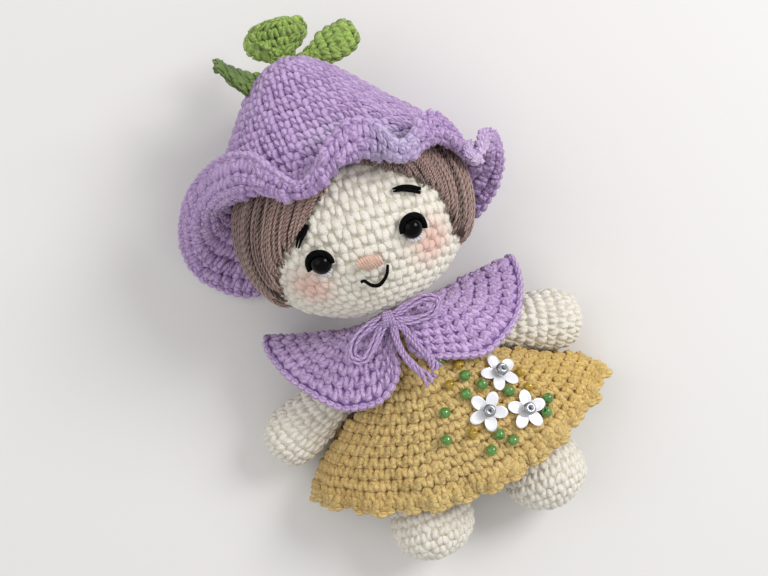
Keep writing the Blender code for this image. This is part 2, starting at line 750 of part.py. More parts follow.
def collar_point(part, turn, out):
    """A point on the collar: turn about the neck in degrees, out 0 at the neck to 1 at the edge."""
    sign = 1 if part == "right" else -1
    share = blend_table(collar_edge_shares[part], np.array([turn]))[0]
    t = math.radians(turn)
    neck = Vector((sign * collar_neck_width * math.sin(t) - hip_middle / 2, head_forward - collar_top,
                   collar_neck_rise + collar_neck_depth * math.cos(t)))
    x = collar_reach * share[0]
    front = collar_front_rise - collar_side_drop * (x / collar_reach) ** 2
    back = gap
    step = min(max((122 - turn) / 64, 0), 1)
    fall = step * step * (3 - 2 * step)
    edge = Vector((x, neck.y + collar_reach * share[1], back + (front - back) * fall))
    flat = neck.lerp(edge, out)
    level = out ** 0.5
    flat.z = neck.z + (edge.z - neck.z) * level
    flat.y = neck.y + (edge.y - neck.y) * out ** 1.3
    return flat


def make_collar(body):
    rows = []
    right = np.linspace(10, 180, collar_columns // 2 + 1)
    left = np.linspace(180, 10, collar_columns // 2 + 1)[1:]
    for out in np.linspace(0, 1, collar_rows + 1):
        line = [collar_point("right", turn, out) for turn in right]
        line += [collar_point("left", turn, out) for turn in left]
        rows.append(np.array(line))
    collar = put("collar", grid_mesh(rows, False), "lilac_yarn", body)
    thicken(collar, collar_fabric, -1)
    return collar


# Bow: centre lines over the collar, in shares of the loop's length from the knot
bow_loop_shares = {
    "left": [(-0.22, 0.08), (-0.62, -0.02), (-1.05, -0.18), (-1.28, -0.52), (-1.02, -0.74), (-0.60, -0.46),
             (-0.22, -0.17)],
    "right": [(0.24, 0.05), (0.62, 0.12), (1.10, 0.12), (1.36, -0.10), (1.10, -0.34), (0.62, -0.30), (0.24, -0.20)],
}
bow_tail_shares = {
    "left": [(0.03, -0.22), (-0.02, -0.60), (-0.01, -1.00), (0.12, -1.45), (0.38, -1.98)],
    "right": [(0.27, -0.42), (0.36, -0.80), (0.54, -1.32), (0.64, -1.72)],
}
bow_place = (-3.2 * mm, 39.4 * mm, 47.2 * mm)


def bow_spot(spot, lift):
    side, drop, rise = bow_place
    return below_head(side + spot[0] * bow_loop, drop - spot[1] * bow_loop, rise + lift)


def make_bow(body):
    knot_centre = bow_spot((0, 0), bow_knot / 2)
    knot = stuffed(ball_profile(8), 2 * bow_knot, bow_knot, bow_knot * 0.8,
                   Matrix.Translation(knot_centre - Vector((0, bow_knot, 0))), 14)
    put("bow_knot", knot, "lilac_yarn", body)
    clear = ball_mesh(knot_centre, bow_knot + gap, 14, 8)
    cutter = put("knot_clearance", clear, "lilac_yarn", body)
    for side, spots in bow_loop_shares.items():
        knots = [bow_spot(spot, bow_yarn) for spot in spots]
        loop = yarn_tube(f"bow_loop_{side}", smooth_line(knots, 19), bow_yarn, "lilac_yarn", body)
        carve(loop, cutter)
    for side, spots in bow_tail_shares.items():
        points = smooth_line([bow_spot(spot, bow_yarn - 2 * gap) for spot in spots], 14)
        tail = yarn_tube(f"bow_tail_{side}", points, bow_yarn, "lilac_yarn", body)
        carve(tail, cutter)


# Beads and sequins: place on the skirt as shares, across half its width and down its front
green_shares = [
    (0.096, 0.273), (0.203, 0.419), (0.152, 0.497), (0.261, 0.511), (0.357, 0.628), (0.510, 0.792),
    (0.466, 0.832), (-0.006, 0.527), (-0.065, 0.662), (0.193, 0.763), (0.246, 0.827), (0.117, 0.811),
]
amber_shares = [(0.200, 0.352), (0.097, 0.410), (0.472, 0.612), (0.452, 0.683), (0.075, 0.686)]
sequin_shares = [(0.383, 0.535), (0.204, 0.632), (0.382, 0.755)]


def skirt_frame(across, down, lift):
    """A matrix on the skirt's front with Z along its outward normal."""
    spread = 0.255 + 0.745 * down ** 1.25
    turn = math.asin(max(-1, min(1, across * 1.02 / spread)))
    spot = dress_point(down, turn)
    step = 0.02
    along = dress_point(down + step, turn) - dress_point(down - step, turn)
    across_way = dress_point(down, turn + step) - dress_point(down, turn - step)
    normal = along.cross(across_way).normalized()
    if normal.z < 0:
        normal = -normal
    side = Vector((0, 1, 0)).cross(normal).normalized()
    turned = Matrix((side, normal.cross(side), normal)).transposed()
    return Matrix.Translation(spot + normal * lift) @ turned.to_4x4()


def make_beads(body):
    for look, radius, shares in (("green", bead_radius, green_shares), ("amber", amber_radius, amber_shares)):
        for i, (across, down) in enumerate(shares):
            lay = Matrix.Rotation(math.radians(37 * i), 4, "Z") @ Matrix.Rotation(math.radians(90), 4, "X")
            place = skirt_frame(across, down, radius + gap) @ lay
            bead = ring_lathe(radius, bead_hole, radius * bead_length_share, place, 8, 4)
            put(f"{look}_bead_{i + 1:02d}", bead, f"{look}_glass", body)
    for i, (across, down) in enumerate(sequin_shares):
        place = skirt_frame(across, down, sequin_lift) @ Matrix.Rotation(math.radians(14 + 29 * i), 4, "Z")
        put(f"sequin_{i + 1}", sequin_mesh(place), "pearl_white", body)
        top = place @ Matrix.Translation((0, 0, sequin_thickness + gap + centre_radius * centre_length_share))
        put(f"sequin_bead_{i + 1}", ring_lathe(centre_radius, bead_hole, centre_radius * centre_length_share, top, 9, 4),
            "silver_bead", body)


def sequin_mesh(place):
    """A flat flower of five round petals with a sewing hole."""
    count = sequin_points
    outline = []
    for i in range(count):
        t = 2 * math.pi * i / count
        reach = sequin_radius * (0.40 + 0.60 * abs(math.cos(2.5 * t)) ** 0.75)
        outline.append((reach * math.cos(t), reach * math.sin(t)))
    hole = [(bead_hole * math.cos(2 * math.pi * i / count), bead_hole * math.sin(2 * math.pi * i / count))
            for i in range(count)]
    rings = []
    for line, height in ((hole, 0), (outline, 0), (outline, sequin_thickness), (hole, sequin_thickness)):
        rings.append([place @ Vector((x, y, height)) for x, y in line])
    return ring_mesh(rings, wrap=True)


def stand_on_origin(doll):
    """Move the whole doll so that the middle of its box's underside is the origin."""
    bpy.context.view_layer.update()
    graph = bpy.context.evaluated_depsgraph_get()
    corners = []
    for piece in bpy.context.scene.objects:
        if piece.type in ("MESH", "CURVE") and not piece.hide_render:
            seen = piece.evaluated_get(graph)
            corners += [seen.matrix_world @ Vector(corner) for corner in seen.bound_box]
    low = Vector([min(corner[i] for corner in corners) for i in range(3)])
    high = Vector([max(corner[i] for corner in corners) for i in range(3)])
    doll.location = -Vector(((low.x + high.x) / 2, (low.y + high.y) / 2, low.z))
    bpy.context.view_layer.update()


def make_doll():
    clear_scene()
    doll = pivot("doll", Vector((0, 0, 0)))
    body = pivot("torso_body", below_head(0, shoulder_drop, shoulder_rise), doll)
    head = pivot("head_body", head_centre, doll)
    hat = pivot("hat_body", head_centre, head)
    make_torso(body)
    make_head(head)
    make_hair(head)
    make_hat(hat)
    for side, sign in (("left", -1), ("right", 1)):
        make_arm(side, sign, pivot(f"arm_{side}_body", shoulder(sign), doll))
        make_leg(side, sign, pivot(f"leg_{side}_body", hip(sign), doll))
    make_dress(body)
    make_collar(body)
    make_bow(body)
    make_beads(body)
    stand_on_origin(doll)


make_doll()
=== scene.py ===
import math

import bmesh
import bpy
import numpy as np
from mathutils import Matrix, Vector


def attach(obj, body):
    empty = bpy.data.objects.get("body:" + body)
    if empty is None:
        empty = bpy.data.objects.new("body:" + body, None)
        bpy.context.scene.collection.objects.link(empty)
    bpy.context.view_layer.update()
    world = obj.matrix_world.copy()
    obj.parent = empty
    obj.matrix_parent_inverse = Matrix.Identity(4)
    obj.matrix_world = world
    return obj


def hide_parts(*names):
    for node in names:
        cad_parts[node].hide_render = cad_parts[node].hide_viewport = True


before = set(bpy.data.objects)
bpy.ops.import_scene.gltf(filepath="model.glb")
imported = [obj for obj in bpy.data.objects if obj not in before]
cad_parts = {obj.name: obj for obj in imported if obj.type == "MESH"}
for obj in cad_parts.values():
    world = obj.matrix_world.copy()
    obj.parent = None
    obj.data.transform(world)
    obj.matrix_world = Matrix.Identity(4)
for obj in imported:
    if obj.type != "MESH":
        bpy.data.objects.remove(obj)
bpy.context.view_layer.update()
mm = 0.001
random = np.random.default_rng(7)

# Lengths are in millimetres in the doll's own frame, where the head's centre is headCentre.
headCentre = np.array([0.5, 28.0, 39.5])
shift = np.array([0.0, -4.59, 0.0])  # from there to the row frame, whose origin is under the box's middle


# Small maths

# A turn of that many degrees about an axis, as three rows
def rotation(degrees, axis):
    return np.array(Matrix.Rotation(math.radians(degrees), 3, axis))


# Each vector divided by its own length
def unit(v):
    return v / np.maximum(np.linalg.norm(v, axis=-1, keepdims=True), 1e-9)


# Points on a Catmull-Rom curve: a cubic through each pair of knots, with the neighbours' slope
def smoothLine(knots, count):
    knots = np.array(knots, float)
    ends = np.vstack([2 * knots[0] - knots[1], knots, 2 * knots[-1] - knots[-2]])
    where = np.linspace(0, len(knots) - 1, count)
    step = np.minimum(where.astype(int), len(knots) - 2)
    t = (where - step)[:, None]
    a, b, c, d = (ends[step + i] for i in range(4))
    return 0.5 * (2 * b + (c - a) * t + (2 * a - 5 * b + 4 * c - d) * t ** 2 + (3 * b - a - 3 * c + d) * t ** 3)


# Smooth values along a table whose first column is the place: read off its smooth line
def blendTable(table, where):
    table = np.array(table, float)
    dense = smoothLine(table, 40 * len(table))
    order = np.argsort(dense[:, 0])
    return np.stack([np.interp(where, dense[order, 0], dense[order, i]) for i in range(1, table.shape[1])], -1)


# As blendTable, for a table that closes on itself after 360 degrees
def roundTable(table, where):
    rows = [tuple(row) for row in table]
    before = [(row[0] - 360, *row[1:]) for row in rows[-3:]]
    after = [(row[0] + 360, *row[1:]) for row in rows[:3]]
    return blendTable(before + rows + after, where)


# Millimetres in the doll's frame to metres in the row frame, nothing below the floor
def toRow(points):
    points = np.array(points, float) + shift
    points[..., 2] = np.maximum(points[..., 2], 0.02)
    return points * mm


# Surfaces: a grid of points, rows down and columns across, with the outward normal at each
pastEnd = 0.6  # share of a grid row that a stitch may reach beyond the first or last row


# Normal = step down x step across, times outward; poles take the next row's mean normal
def surfaceOf(points, wrap, outward=1):
    points = np.array(points, float)
    if wrap:
        across = np.roll(points, -1, 1) - np.roll(points, 1, 1)
    else:
        across = np.gradient(points, axis=1)
    normal = unit(np.cross(np.gradient(points, axis=0), across)) * outward
    for row, inner in ((0, 1), (-1, -2)):
        if np.linalg.norm(across[row], axis=-1).max() < 1e-6:
            normal[row] = unit(normal[inner].mean(0))
    return {"points": points, "normals": normal, "wrap": wrap}


# Point and normal at u across (in turns if it wraps) and v down, blended between four grid points
def lookUp(surface, u, v):
    points, normals, wrap = surface["points"], surface["normals"], surface["wrap"]
    rows, columns = points.shape[:2]
    x = (u % 1) * columns if wrap else u * (columns - 1)
    y = v * (rows - 1)
    i = np.clip(np.floor(y).astype(int), 0, rows - 2)
    j = np.floor(x).astype(int) % columns if wrap else np.clip(np.floor(x).astype(int), 0, columns - 2)
    k = (j + 1) % columns if wrap else j + 1
    s = (x - np.floor(x) if wrap else x - j)[..., None]
    t = np.clip(y - i, -pastEnd, 1 + pastEnd)[..., None]

    def mix(grid):
        above = grid[i, j] * (1 - s) + grid[i, k] * s
        below = grid[i + 1, j] * (1 - s) + grid[i + 1, k] * s
        return above * (1 - t) + below * t

    return mix(points), unit(mix(normals))


# Cumulated length across each row, and the mean cumulated length down the columns
def rowLengths(surface):
    points = surface["points"]
    closed = np.concatenate([points, points[:, :1]], 1) if surface["wrap"] else points
    across = np.linalg.norm(np.diff(closed, axis=1), axis=-1).cumsum(1)
    down = np.linalg.norm(np.diff(points, axis=0), axis=-1).mean(1)
    return np.pad(across, ((0, 0), (1, 0))), np.pad(down, (1, 0)).cumsum()


# Meshes

# An object from whole arrays: vertices, four-cornered faces, a UV for each corner and a shade for each
# vertex
def makeMesh(name, points, quads, material, body, uv=None, shade=None, smooth=True):
    data = bpy.data.meshes.new(name)
    points, quads = np.asarray(points, float).reshape(-1, 3), np.asarray(quads, np.int32).reshape(-1, 4)
    data.vertices.add(len(points))
    data.vertices.foreach_set("co", points.astype(np.float32).ravel())
    data.loops.add(quads.size)
    data.loops.foreach_set("vertex_index", quads.ravel())
    data.polygons.add(len(quads))
    data.polygons.foreach_set("loop_start", np.arange(len(quads), dtype=np.int32) * 4)
    data.polygons.foreach_set("use_smooth", np.full(len(quads), smooth))
    data.update(calc_edges=True)
    if uv is not None:
        data.uv_layers.new(name="ply").data.foreach_set("uv", np.asarray(uv, np.float32).ravel())
    if shade is not None:
        values = np.asarray(shade, np.float32).ravel()
        data.attributes.new("shade", "FLOAT", "POINT").data.foreach_set("value", values)
    data.materials.append(material)
    piece = bpy.data.objects.new(name, data)
    bpy.context.scene.collection.objects.link(piece)
    if body:
        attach(piece, body)
    return piece


# Corner numbers of the faces between the rows and columns of a grid
def gridQuads(rows, columns, wrapAcross, wrapDown=False):
    i = np.arange(rows if wrapDown else rows - 1)[:, None]
    j = np.arange(columns if wrapAcross else columns - 1)[None]
    below, beside = (i + 1) % rows, (j + 1) % columns
    corners = [i * columns + j, below * columns + j, below * columns + beside, i * columns + beside]
    return np.stack(np.broadcast_arrays(*corners), -1).reshape(-1, 4)


# Tubes along many paths at once (paths x rings x 3), with frames from the path and an up direction. Gives
# points, faces and a corner UV of (ring, turn)
def tubes(paths, radii, sides=6, up=(0, 0, 1)):
    paths = np.asarray(paths, float)
    count, rings = paths.shape[:2]
    along = unit(np.gradient(paths, axis=1))
    side = unit(np.cross(along, np.broadcast_to(np.asarray(up, float), paths.shape)))
    rise = np.cross(side, along)
    turn = 2 * np.pi * np.arange(sides) / sides
    radii = np.broadcast_to(radii, (count, rings))[..., None, None]
    points = paths[:, :, None] + radii * (np.cos(turn)[:, None] * side[:, :, None]
                                          + np.sin(turn)[:, None] * rise[:, :, None])
    quads, uv = tubeFaces(rings, sides)
    quads = quads[None] + (np.arange(count) * rings * sides)[:, None, None]
    return points.reshape(-1, 3), quads.reshape(-1, 4), np.broadcast_to(uv, (count, *uv.shape)).reshape(-1, 2)


# Faces of a tube's wall and its two ends, outward, with a corner UV of (ring share, turn share)
def tubeFaces(rings, sides):
    i, j = np.meshgrid(np.arange(rings - 1), np.arange(sides), indexing="ij")
    k = (j + 1) % sides
    quads = np.stack([i * sides + j, (i + 1) * sides + j, (i + 1) * sides + k, i * sides + k], -1).reshape(-1, 4)
    a, b = i / (rings - 1), (i + 1) / (rings - 1)
    low, high = j / sides, (j + 1) / sides
    uv = np.stack([np.stack([a, low], -1), np.stack([b, low], -1), np.stack([b, high], -1),
                   np.stack([a, high], -1)], -2).reshape(-1, 4, 2)
    last = (rings - 1) * sides
    steps = range(1, sides - 1, 2)
    caps = [[0, s, s + 1, s + 2] for s in steps]
    caps += [[last, last + s + 2, last + s + 1, last + s] for s in steps]
    return np.vstack([quads, caps]), np.concatenate([uv, np.zeros((len(caps), 4, 2))])


# Joins the doubled points where a grid meets itself at a pole
def closePoles(piece):
    work = bmesh.new()
    work.from_mesh(piece.data)
    bmesh.ops.remove_doubles(work, verts=work.verts, dist=0.01 * mm)
    work.to_mesh(piece.data)
    work.free()
    return piece


# Crochet: rows of V stitches, each two plump lobes, laid over a surface. Every look starts from this
# one: shares of the stitch's width, row or yarn thickness, except top and fabric, which are in mm.
usualStitch = {
    "rings": 6, "top": 0.5, "fabric": 2.2,  # height of the fattest part, and a sheet's thickness
    "peak": 0.7, "tuck": 0.3, "blunt": 0.6, "dip": 1.0,  # fattest place, drop after it, thin end, deep start
    "bias": 0.0, "sunk": 0.0, "stagger": 0.0,  # the left lobe thinner, lower and further up than the right
    "reach": 1.04, "nudge": -0.04, "curve": 0.85,  # length, shift down the row, how soon the lobes close in
    "drift": 0.37, "wobble": 0.07, "sizeShare": 0.6, "heightShare": 0.9,  # row offset and unevenness
}

# Places of the stitches: rows an equal length apart down the surface, and in each row as many stitches as
# fit, spaced by length; each row starts a share of a stitch further on
def layRows(surface, width, row, drift, top=0.0, bottom=1.0):
    across, down = rowLengths(surface)
    wrap, total = surface["wrap"], down[-1]
    count = max(1, round((bottom - top) * total / row))
    step = (bottom - top) * total / count
    downShare = np.linspace(0, 1, len(down))
    acrossShare = np.linspace(0, 1, across.shape[1])
    found = []
    for k in range(count):
        low, v, high = np.interp(top * total + step * (k + np.array([0, 0.5, 1])), down, downShare)
        y = v * (len(down) - 1)
        i = min(int(y), len(down) - 2)
        line = across[i] * (i + 1 - y) + across[i + 1] * (y - i)
        length = line[-1]
        n = max(4 if wrap else 1, round(length / width))
        places = (np.arange(n) + 0.5 + (drift * k % 1 if wrap else 0)) * length / n
        if wrap:
            places = places % length
            line = np.concatenate([line[:-1] - length, line, line[1:] + length])
            share = np.concatenate([acrossShare[:-1] - 1, acrossShare, acrossShare[1:] + 1])
        else:
            share = acrossShare
        u = np.interp(places, line, share)
        reach = length / n / 2
        perWidth = np.interp(places + reach, line, share) - np.interp(places - reach, line, share)
        found.append(np.stack([u, 0 * u + v, perWidth / width, 0 * u + (high - low) / row, 0 * u + k], -1))
    return np.concatenate(found)


# The two lobes of one stitch, in millimetres across, down and off the surface: each runs from the stitch's
# upper corner to its point, starts deep, rises by a sine to its fattest part at look["peak"] and drops
# again by look["tuck"]. The fattest part stands look["top"] over the surface
def lobePair(look):
    peak, start, blunt = look["peak"], look["open"], look["blunt"]
    s = np.linspace(0, 1, look["rings"])
    hump = np.where(s < peak, np.sin(np.pi / 2 * s / peak), 1 - look["tuck"] * ((s - peak) / (1 - peak)) ** 2)
    paths, radii = [], []
    for sign in (-1, 1):
        fat = look["thick"] * (1 + look["bias"] * sign)
        x = sign * look["width"] * (start - (start - look["point"]) * s ** look["curve"])
        y = look["row"] * (look["nudge"] + look["reach"] * (s - 0.5) + look["stagger"] * sign)
        z = look["top"] - look["sunk"] * (sign < 0) - fat * (1.0 + look["dip"] * (1 - hump))
        paths.append(np.stack([x, y, z], -1))
        radii.append(fat * (blunt + (1 - blunt) * hump))
    return tubes(np.array(paths), np.array(radii))


# Maps the lobe pair onto the surface at every stitch: point = surface(u, v) + normal x height. side -1
# works the other face of a sheet; keep tells which places have a stitch
def stitches(surface, look, side=1, keep=None, top=0.0, bottom=1.0):
    look = {**usualStitch, **look}
    places = layRows(surface, look["width"], look["row"], look["drift"], top, bottom)
    if keep is not None:
        places = places[keep(lookUp(surface, places[:, 0], places[:, 1])[0])]
    shape, quads, uv = lobePair(look)
    count = len(places)
    wobble, sizeShare, heightShare = look["wobble"], look["sizeShare"], look["heightShare"]
    lean = random.normal(0, wobble, count)[:, None]
    size = 1 + random.normal(0, wobble * sizeShare, (count, 1))
    x = (shape[:, 0] + lean * shape[:, 1]) * size
    y = shape[:, 1] - lean * shape[:, 0] * sizeShare
    z = shape[:, 2] * (1 + random.normal(0, wobble, (count, 1)))
    z = z + random.normal(0, wobble * heightShare, (count, 1))
    spots, normals = lookUp(surface, places[:, :1] + x * places[:, 2:3], places[:, 1:2] + y * places[:, 3:4])
    points = spots + normals * (z * side - (0 if side > 0 else look["fabric"]))[..., None]
    if side < 0:
        quads = quads[:, ::-1]
        uv = uv.reshape(-1, 4, 2)[:, ::-1].reshape(-1, 2)
    faces = quads[None] + (np.arange(count) * len(shape))[:, None, None]
    shade = np.repeat(random.uniform(0, 1, count), len(shape))
    return points.reshape(-1, 3), faces.reshape(-1, 4), np.tile(uv, (count, 1)), shade


# Tubes along the paths as parts for joined(), each with a shade of its own
def strands(paths, radii, sides=6, up=(0, 0, 1)):
    points, quads, uv = tubes(paths, radii, sides, up)
    return points, quads, uv, np.repeat(random.uniform(0, 1, len(paths)), len(points) // len(paths))


# One object of several parts, each of points, faces, corner UV and shade; faces are renumbered
def joined(name, parts, material, body):
    starts = np.cumsum([0] + [len(part[0]) for part in parts[:-1]])
    faces = np.concatenate([part[1] + start for part, start in zip(parts, starts)])
    points, uv, shade = (np.concatenate([part[i] for part in parts]) for i in (0, 2, 3))
    return makeMesh(name, toRow(points), faces, material, body, uv, shade)


# The cloth behind the stitches, in a material darker than its yarn as painted shade in the gaps: the surface sunk along
# its normal, with a thickness if it is a sheet
def backing(name, surface, sink, material, body, rowStep=2, columnStep=2, solid=0.0):
    rowCount, columnCount = surface["points"].shape[:2]
    rows = np.unique(np.append(np.arange(0, rowCount, rowStep), rowCount - 1))
    columns = np.arange(0, columnCount, columnStep)
    if not surface["wrap"]:
        columns = np.unique(np.append(columns, columnCount - 1))
    points = (surface["points"] - surface["normals"] * sink)[np.ix_(rows, columns)]
    quads = gridQuads(len(rows), len(columns), surface["wrap"])
    corners = points.reshape(-1, 3)[quads]
    facing = np.cross(corners[:, 1] - corners[:, 0], corners[:, 2] - corners[:, 0])
    outward = surface["normals"][np.ix_(rows, columns)].reshape(-1, 3)[quads[:, 0]]
    if (facing * outward).sum() < 0:
        quads = quads[:, ::-1]
    piece = closePoles(makeMesh(name, toRow(points), quads, material, body))
    if solid:
        cloth = piece.modifiers.new("thickness", "SOLIDIFY")
        cloth.thickness = solid * mm
        cloth.offset = 0
    return piece


# Materials. Fibres and clouds are the same noise, stretched from between low and high to 0 to 1.
fibreNoise = {"scale": 1500, "detail": 3, "low": 0.36, "high": 0.64}
cloudNoise = {"scale": 700, "detail": 3, "low": 0.32, "high": 0.68}
reliefDepth = {"yarn": 0.5, "plain": 0.2}  # mm
meanTone, meanGroove = 0.72, 0.64  # the yarn's mean colour from dark to light, and the mean of |sin|


# An sRGB colour of 0 to 255 as the shader's linear values: share to the power 2.2
def colour(red, green, blue):
    return (*[(c / 255) ** 2.2 for c in (red, green, blue)], 1)


# A shader node at its place in the tree, with its settings
def nodeIn(tree, kind, place=(0, 0), **settings):
    node = tree.nodes.new(kind)
    node.location = place
    for key, value in settings.items():
        setattr(node, key, value)
    return node


# One sum of two values, each a number or another node's output
def mathNode(tree, operation, a, b=None, place=(0, 0), clamp=False):
    node = nodeIn(tree, "ShaderNodeMath", place, operation=operation, use_clamp=clamp)
    for socket, value in zip(node.inputs, (a, b)):
        if isinstance(value, (int, float)):
            socket.default_value = value
        elif value is not None:
            tree.links.new(value, socket)
    return node.outputs[0]


# Noise on the piece's own coordinates, stretched by the look's low and high: the noise node and its value
def stretchedNoise(tree, look, x, y):
    spot = nodeIn(tree, "ShaderNodeTexCoord", (x, y))
    grain = nodeIn(tree, "ShaderNodeTexNoise", (x + 200, y))
    grain.inputs["Scale"].default_value = look["scale"]
    grain.inputs["Detail"].default_value = look["detail"]
    spread = nodeIn(tree, "ShaderNodeMapRange", (x + 400, y))
    spread.inputs["From Min"].default_value = look["low"]
    spread.inputs["From Max"].default_value = look["high"]
    tree.links.new(spot.outputs["Object"], grain.inputs["Vector"])
    tree.links.new(grain.outputs[0], spread.inputs[0])
    return grain, spread.outputs[0]


# Twisted plies: height = |sin(pi x (plies x turn share + turns x length share))|, plus a fine fibre noise
def plyGroup():
    tree = bpy.data.node_groups.new("twisted plies", "ShaderNodeTree")
    for label, kind, value in (("Plies", "NodeSocketFloat", 3), ("Turns", "NodeSocketFloat", 1)):
        tree.interface.new_socket(label, in_out="INPUT", socket_type=kind).default_value = value
    for label in ("Height", "Fibre"):
        tree.interface.new_socket(label, in_out="OUTPUT", socket_type="NodeSocketFloat")
    taken = nodeIn(tree, "NodeGroupInput", (-800, 0))
    given = nodeIn(tree, "NodeGroupOutput", (600, 0))
    uv = nodeIn(tree, "ShaderNodeUVMap", (-800, 200), uv_map="ply")
    parts = nodeIn(tree, "ShaderNodeSeparateXYZ", (-600, 200))
    tree.links.new(uv.outputs[0], parts.inputs[0])
    around = mathNode(tree, "MULTIPLY", parts.outputs[1], taken.outputs["Plies"], (-400, 200))
    along = mathNode(tree, "MULTIPLY", parts.outputs[0], taken.outputs["Turns"], (-400, 0))
    phase = mathNode(tree, "MULTIPLY", mathNode(tree, "ADD", around, along, (-200, 100)), math.pi, (-50, 100))
    height = mathNode(tree, "ABSOLUTE", mathNode(tree, "SINE", phase, None, (100, 100)), None, (250, 100))
    tree.links.new(height, given.inputs["Height"])
    tree.links.new(stretchedNoise(tree, fibreNoise, -400, -300)[1], given.inputs["Fibre"])
    return tree


# Fine clouds: the stretched noise, at a scale that each material sets
def cloudGroup():
    tree = bpy.data.node_groups.new("fine clouds", "ShaderNodeTree")
    scale = tree.interface.new_socket("Scale", in_out="INPUT", socket_type="NodeSocketFloat")
    scale.default_value = cloudNoise["scale"]
    tree.interface.new_socket("Value", in_out="OUTPUT", socket_type="NodeSocketFloat")
    taken = nodeIn(tree, "NodeGroupInput", (-600, -100))
    given = nodeIn(tree, "NodeGroupOutput", (400, 0))
    grain, value = stretchedNoise(tree, cloudNoise, -400, 100)
    tree.links.new(taken.outputs["Scale"], grain.inputs["Scale"])
    tree.links.new(value, given.inputs["Value"])
    return tree


plies = plyGroup()
clouds = cloudGroup()


# Yarn: its colour goes from dark to light by spread x the stitch's random shade + the groove weight x the plies'
# height, which paints shade into the grooves between plies, + woolly x the fibres. Each patch (centre, radius in
# mm, colour, strength) tints it, less to its edge; where a patch is painted light or shade, a comment says so where it
# is given.
def yarn(name, light, dark, count=4, turns=1.2, rough=0.75, grooveShade=0.38, spread=0.3, bump=0.9, patches=(),
         mixing="MULTIPLY", glow=0.25, shine=0.4, woolly=0.4):
    material = bpy.data.materials.new(name)
    material.use_nodes = True
    tree = material.node_tree
    shader = tree.nodes["Principled BSDF"]
    twist = nodeIn(tree, "ShaderNodeGroup", (-900, 0), node_tree=plies)
    twist.inputs["Plies"].default_value = count
    twist.inputs["Turns"].default_value = turns
    shade = nodeIn(tree, "ShaderNodeAttribute", (-900, 300), attribute_name="shade")
    steps = mathNode(tree, "MULTIPLY", shade.outputs["Fac"], spread, (-700, 300))
    # the plies' height lightens the crests and darkens the grooves between plies: painted shade
    strands = mathNode(tree, "MULTIPLY", twist.outputs["Height"], grooveShade, (-700, 100))
    fibres = mathNode(tree, "MULTIPLY", twist.outputs["Fibre"], woolly, (-700, -100))
    share = mathNode(tree, "ADD", mathNode(tree, "ADD", steps, strands, (-500, 200)), fibres, (-350, 150))
    rest = meanTone - spread / 2 - grooveShade * meanGroove - woolly / 2
    share = mathNode(tree, "ADD", share, rest, (-200, 150), clamp=True)
    blend = nodeIn(tree, "ShaderNodeMix", (-50, 150), data_type="RGBA")
    blend.inputs[6].default_value = dark
    blend.inputs[7].default_value = light
    tree.links.new(share, blend.inputs[0])
    result = blend.outputs[2]
    for i, (centre, radius, tint, strength) in enumerate(patches):
        y = -400 - 300 * i
        spot = nodeIn(tree, "ShaderNodeTexCoord", (-900, y))
        moved = nodeIn(tree, "ShaderNodeMapping", (-700, y))
        moved.inputs["Location"].default_value = [-c * mm for c in centre]
        far = nodeIn(tree, "ShaderNodeVectorMath", (-500, y), operation="LENGTH")
        near = nodeIn(tree, "ShaderNodeMapRange", (-300, y), interpolation_type="SMOOTHSTEP")
        for key, value in (("From Min", 0), ("From Max", radius * mm), ("To Min", strength), ("To Max", 0)):
            near.inputs[key].default_value = value
        tinted = nodeIn(tree, "ShaderNodeMix", (150, y + 200), data_type="RGBA", blend_type=mixing)
        tinted.inputs[7].default_value = tint
        tree.links.new(spot.outputs["Object"], moved.inputs["Vector"])
        tree.links.new(moved.outputs[0], far.inputs[0])
        tree.links.new(far.outputs["Value"], near.inputs[0])
        tree.links.new(near.outputs[0], tinted.inputs[0])
        tree.links.new(result, tinted.inputs[6])
        result = tinted.outputs[2]
    tree.links.new(result, shader.inputs["Base Color"])
    relief = nodeIn(tree, "ShaderNodeBump", (-50, -150))
    relief.inputs["Strength"].default_value = bump
    relief.inputs["Distance"].default_value = reliefDepth["yarn"] * mm
    height = mathNode(tree, "ADD", twist.outputs["Height"], fibres, (-200, -150))
    tree.links.new(height, relief.inputs["Height"])
    tree.links.new(relief.outputs[0], shader.inputs["Normal"])
    shader.inputs["Roughness"].default_value = rough
    shader.inputs["Sheen Weight"].default_value = glow
    shader.inputs["Sheen Roughness"].default_value = 0.5
    shader.inputs["Specular IOR Level"].default_value = shine
    return material


# One tone, clouded by a fine noise between itself and a tone darker by the share depth, with relief
def plain(name, tone, rough=0.5, metallic=0.0, grain=cloudNoise["scale"], depth=0.15, relief=0.3, **sockets):
    material = bpy.data.materials.new(name)
    material.use_nodes = True
    tree = material.node_tree
    shader = tree.nodes["Principled BSDF"]
    shader.inputs["Base Color"].default_value = tone
    shader.inputs["Roughness"].default_value = rough
    shader.inputs["Metallic"].default_value = metallic
    if depth:
        cloud = nodeIn(tree, "ShaderNodeGroup", (-500, 100), node_tree=clouds)
        cloud.inputs["Scale"].default_value = grain
        blend = nodeIn(tree, "ShaderNodeMix", (-250, 200), data_type="RGBA")
        blend.inputs[6].default_value = (*[c * (1 - depth) for c in tone[:3]], 1)
        blend.inputs[7].default_value = tone
        bump = nodeIn(tree, "ShaderNodeBump", (-250, -100))
        bump.inputs["Strength"].default_value = relief
        bump.inputs["Distance"].default_value = reliefDepth["plain"] * mm
        tree.links.new(cloud.outputs["Value"], blend.inputs[0])
        tree.links.new(blend.outputs[2], shader.inputs["Base Color"])
        tree.links.new(cloud.outputs["Value"], bump.inputs["Height"])
        tree.links.new(bump.outputs[0], shader.inputs["Normal"])
    for key, value in sockets.items():
        shader.inputs[key.replace("_", " ")].default_value = value
    return material
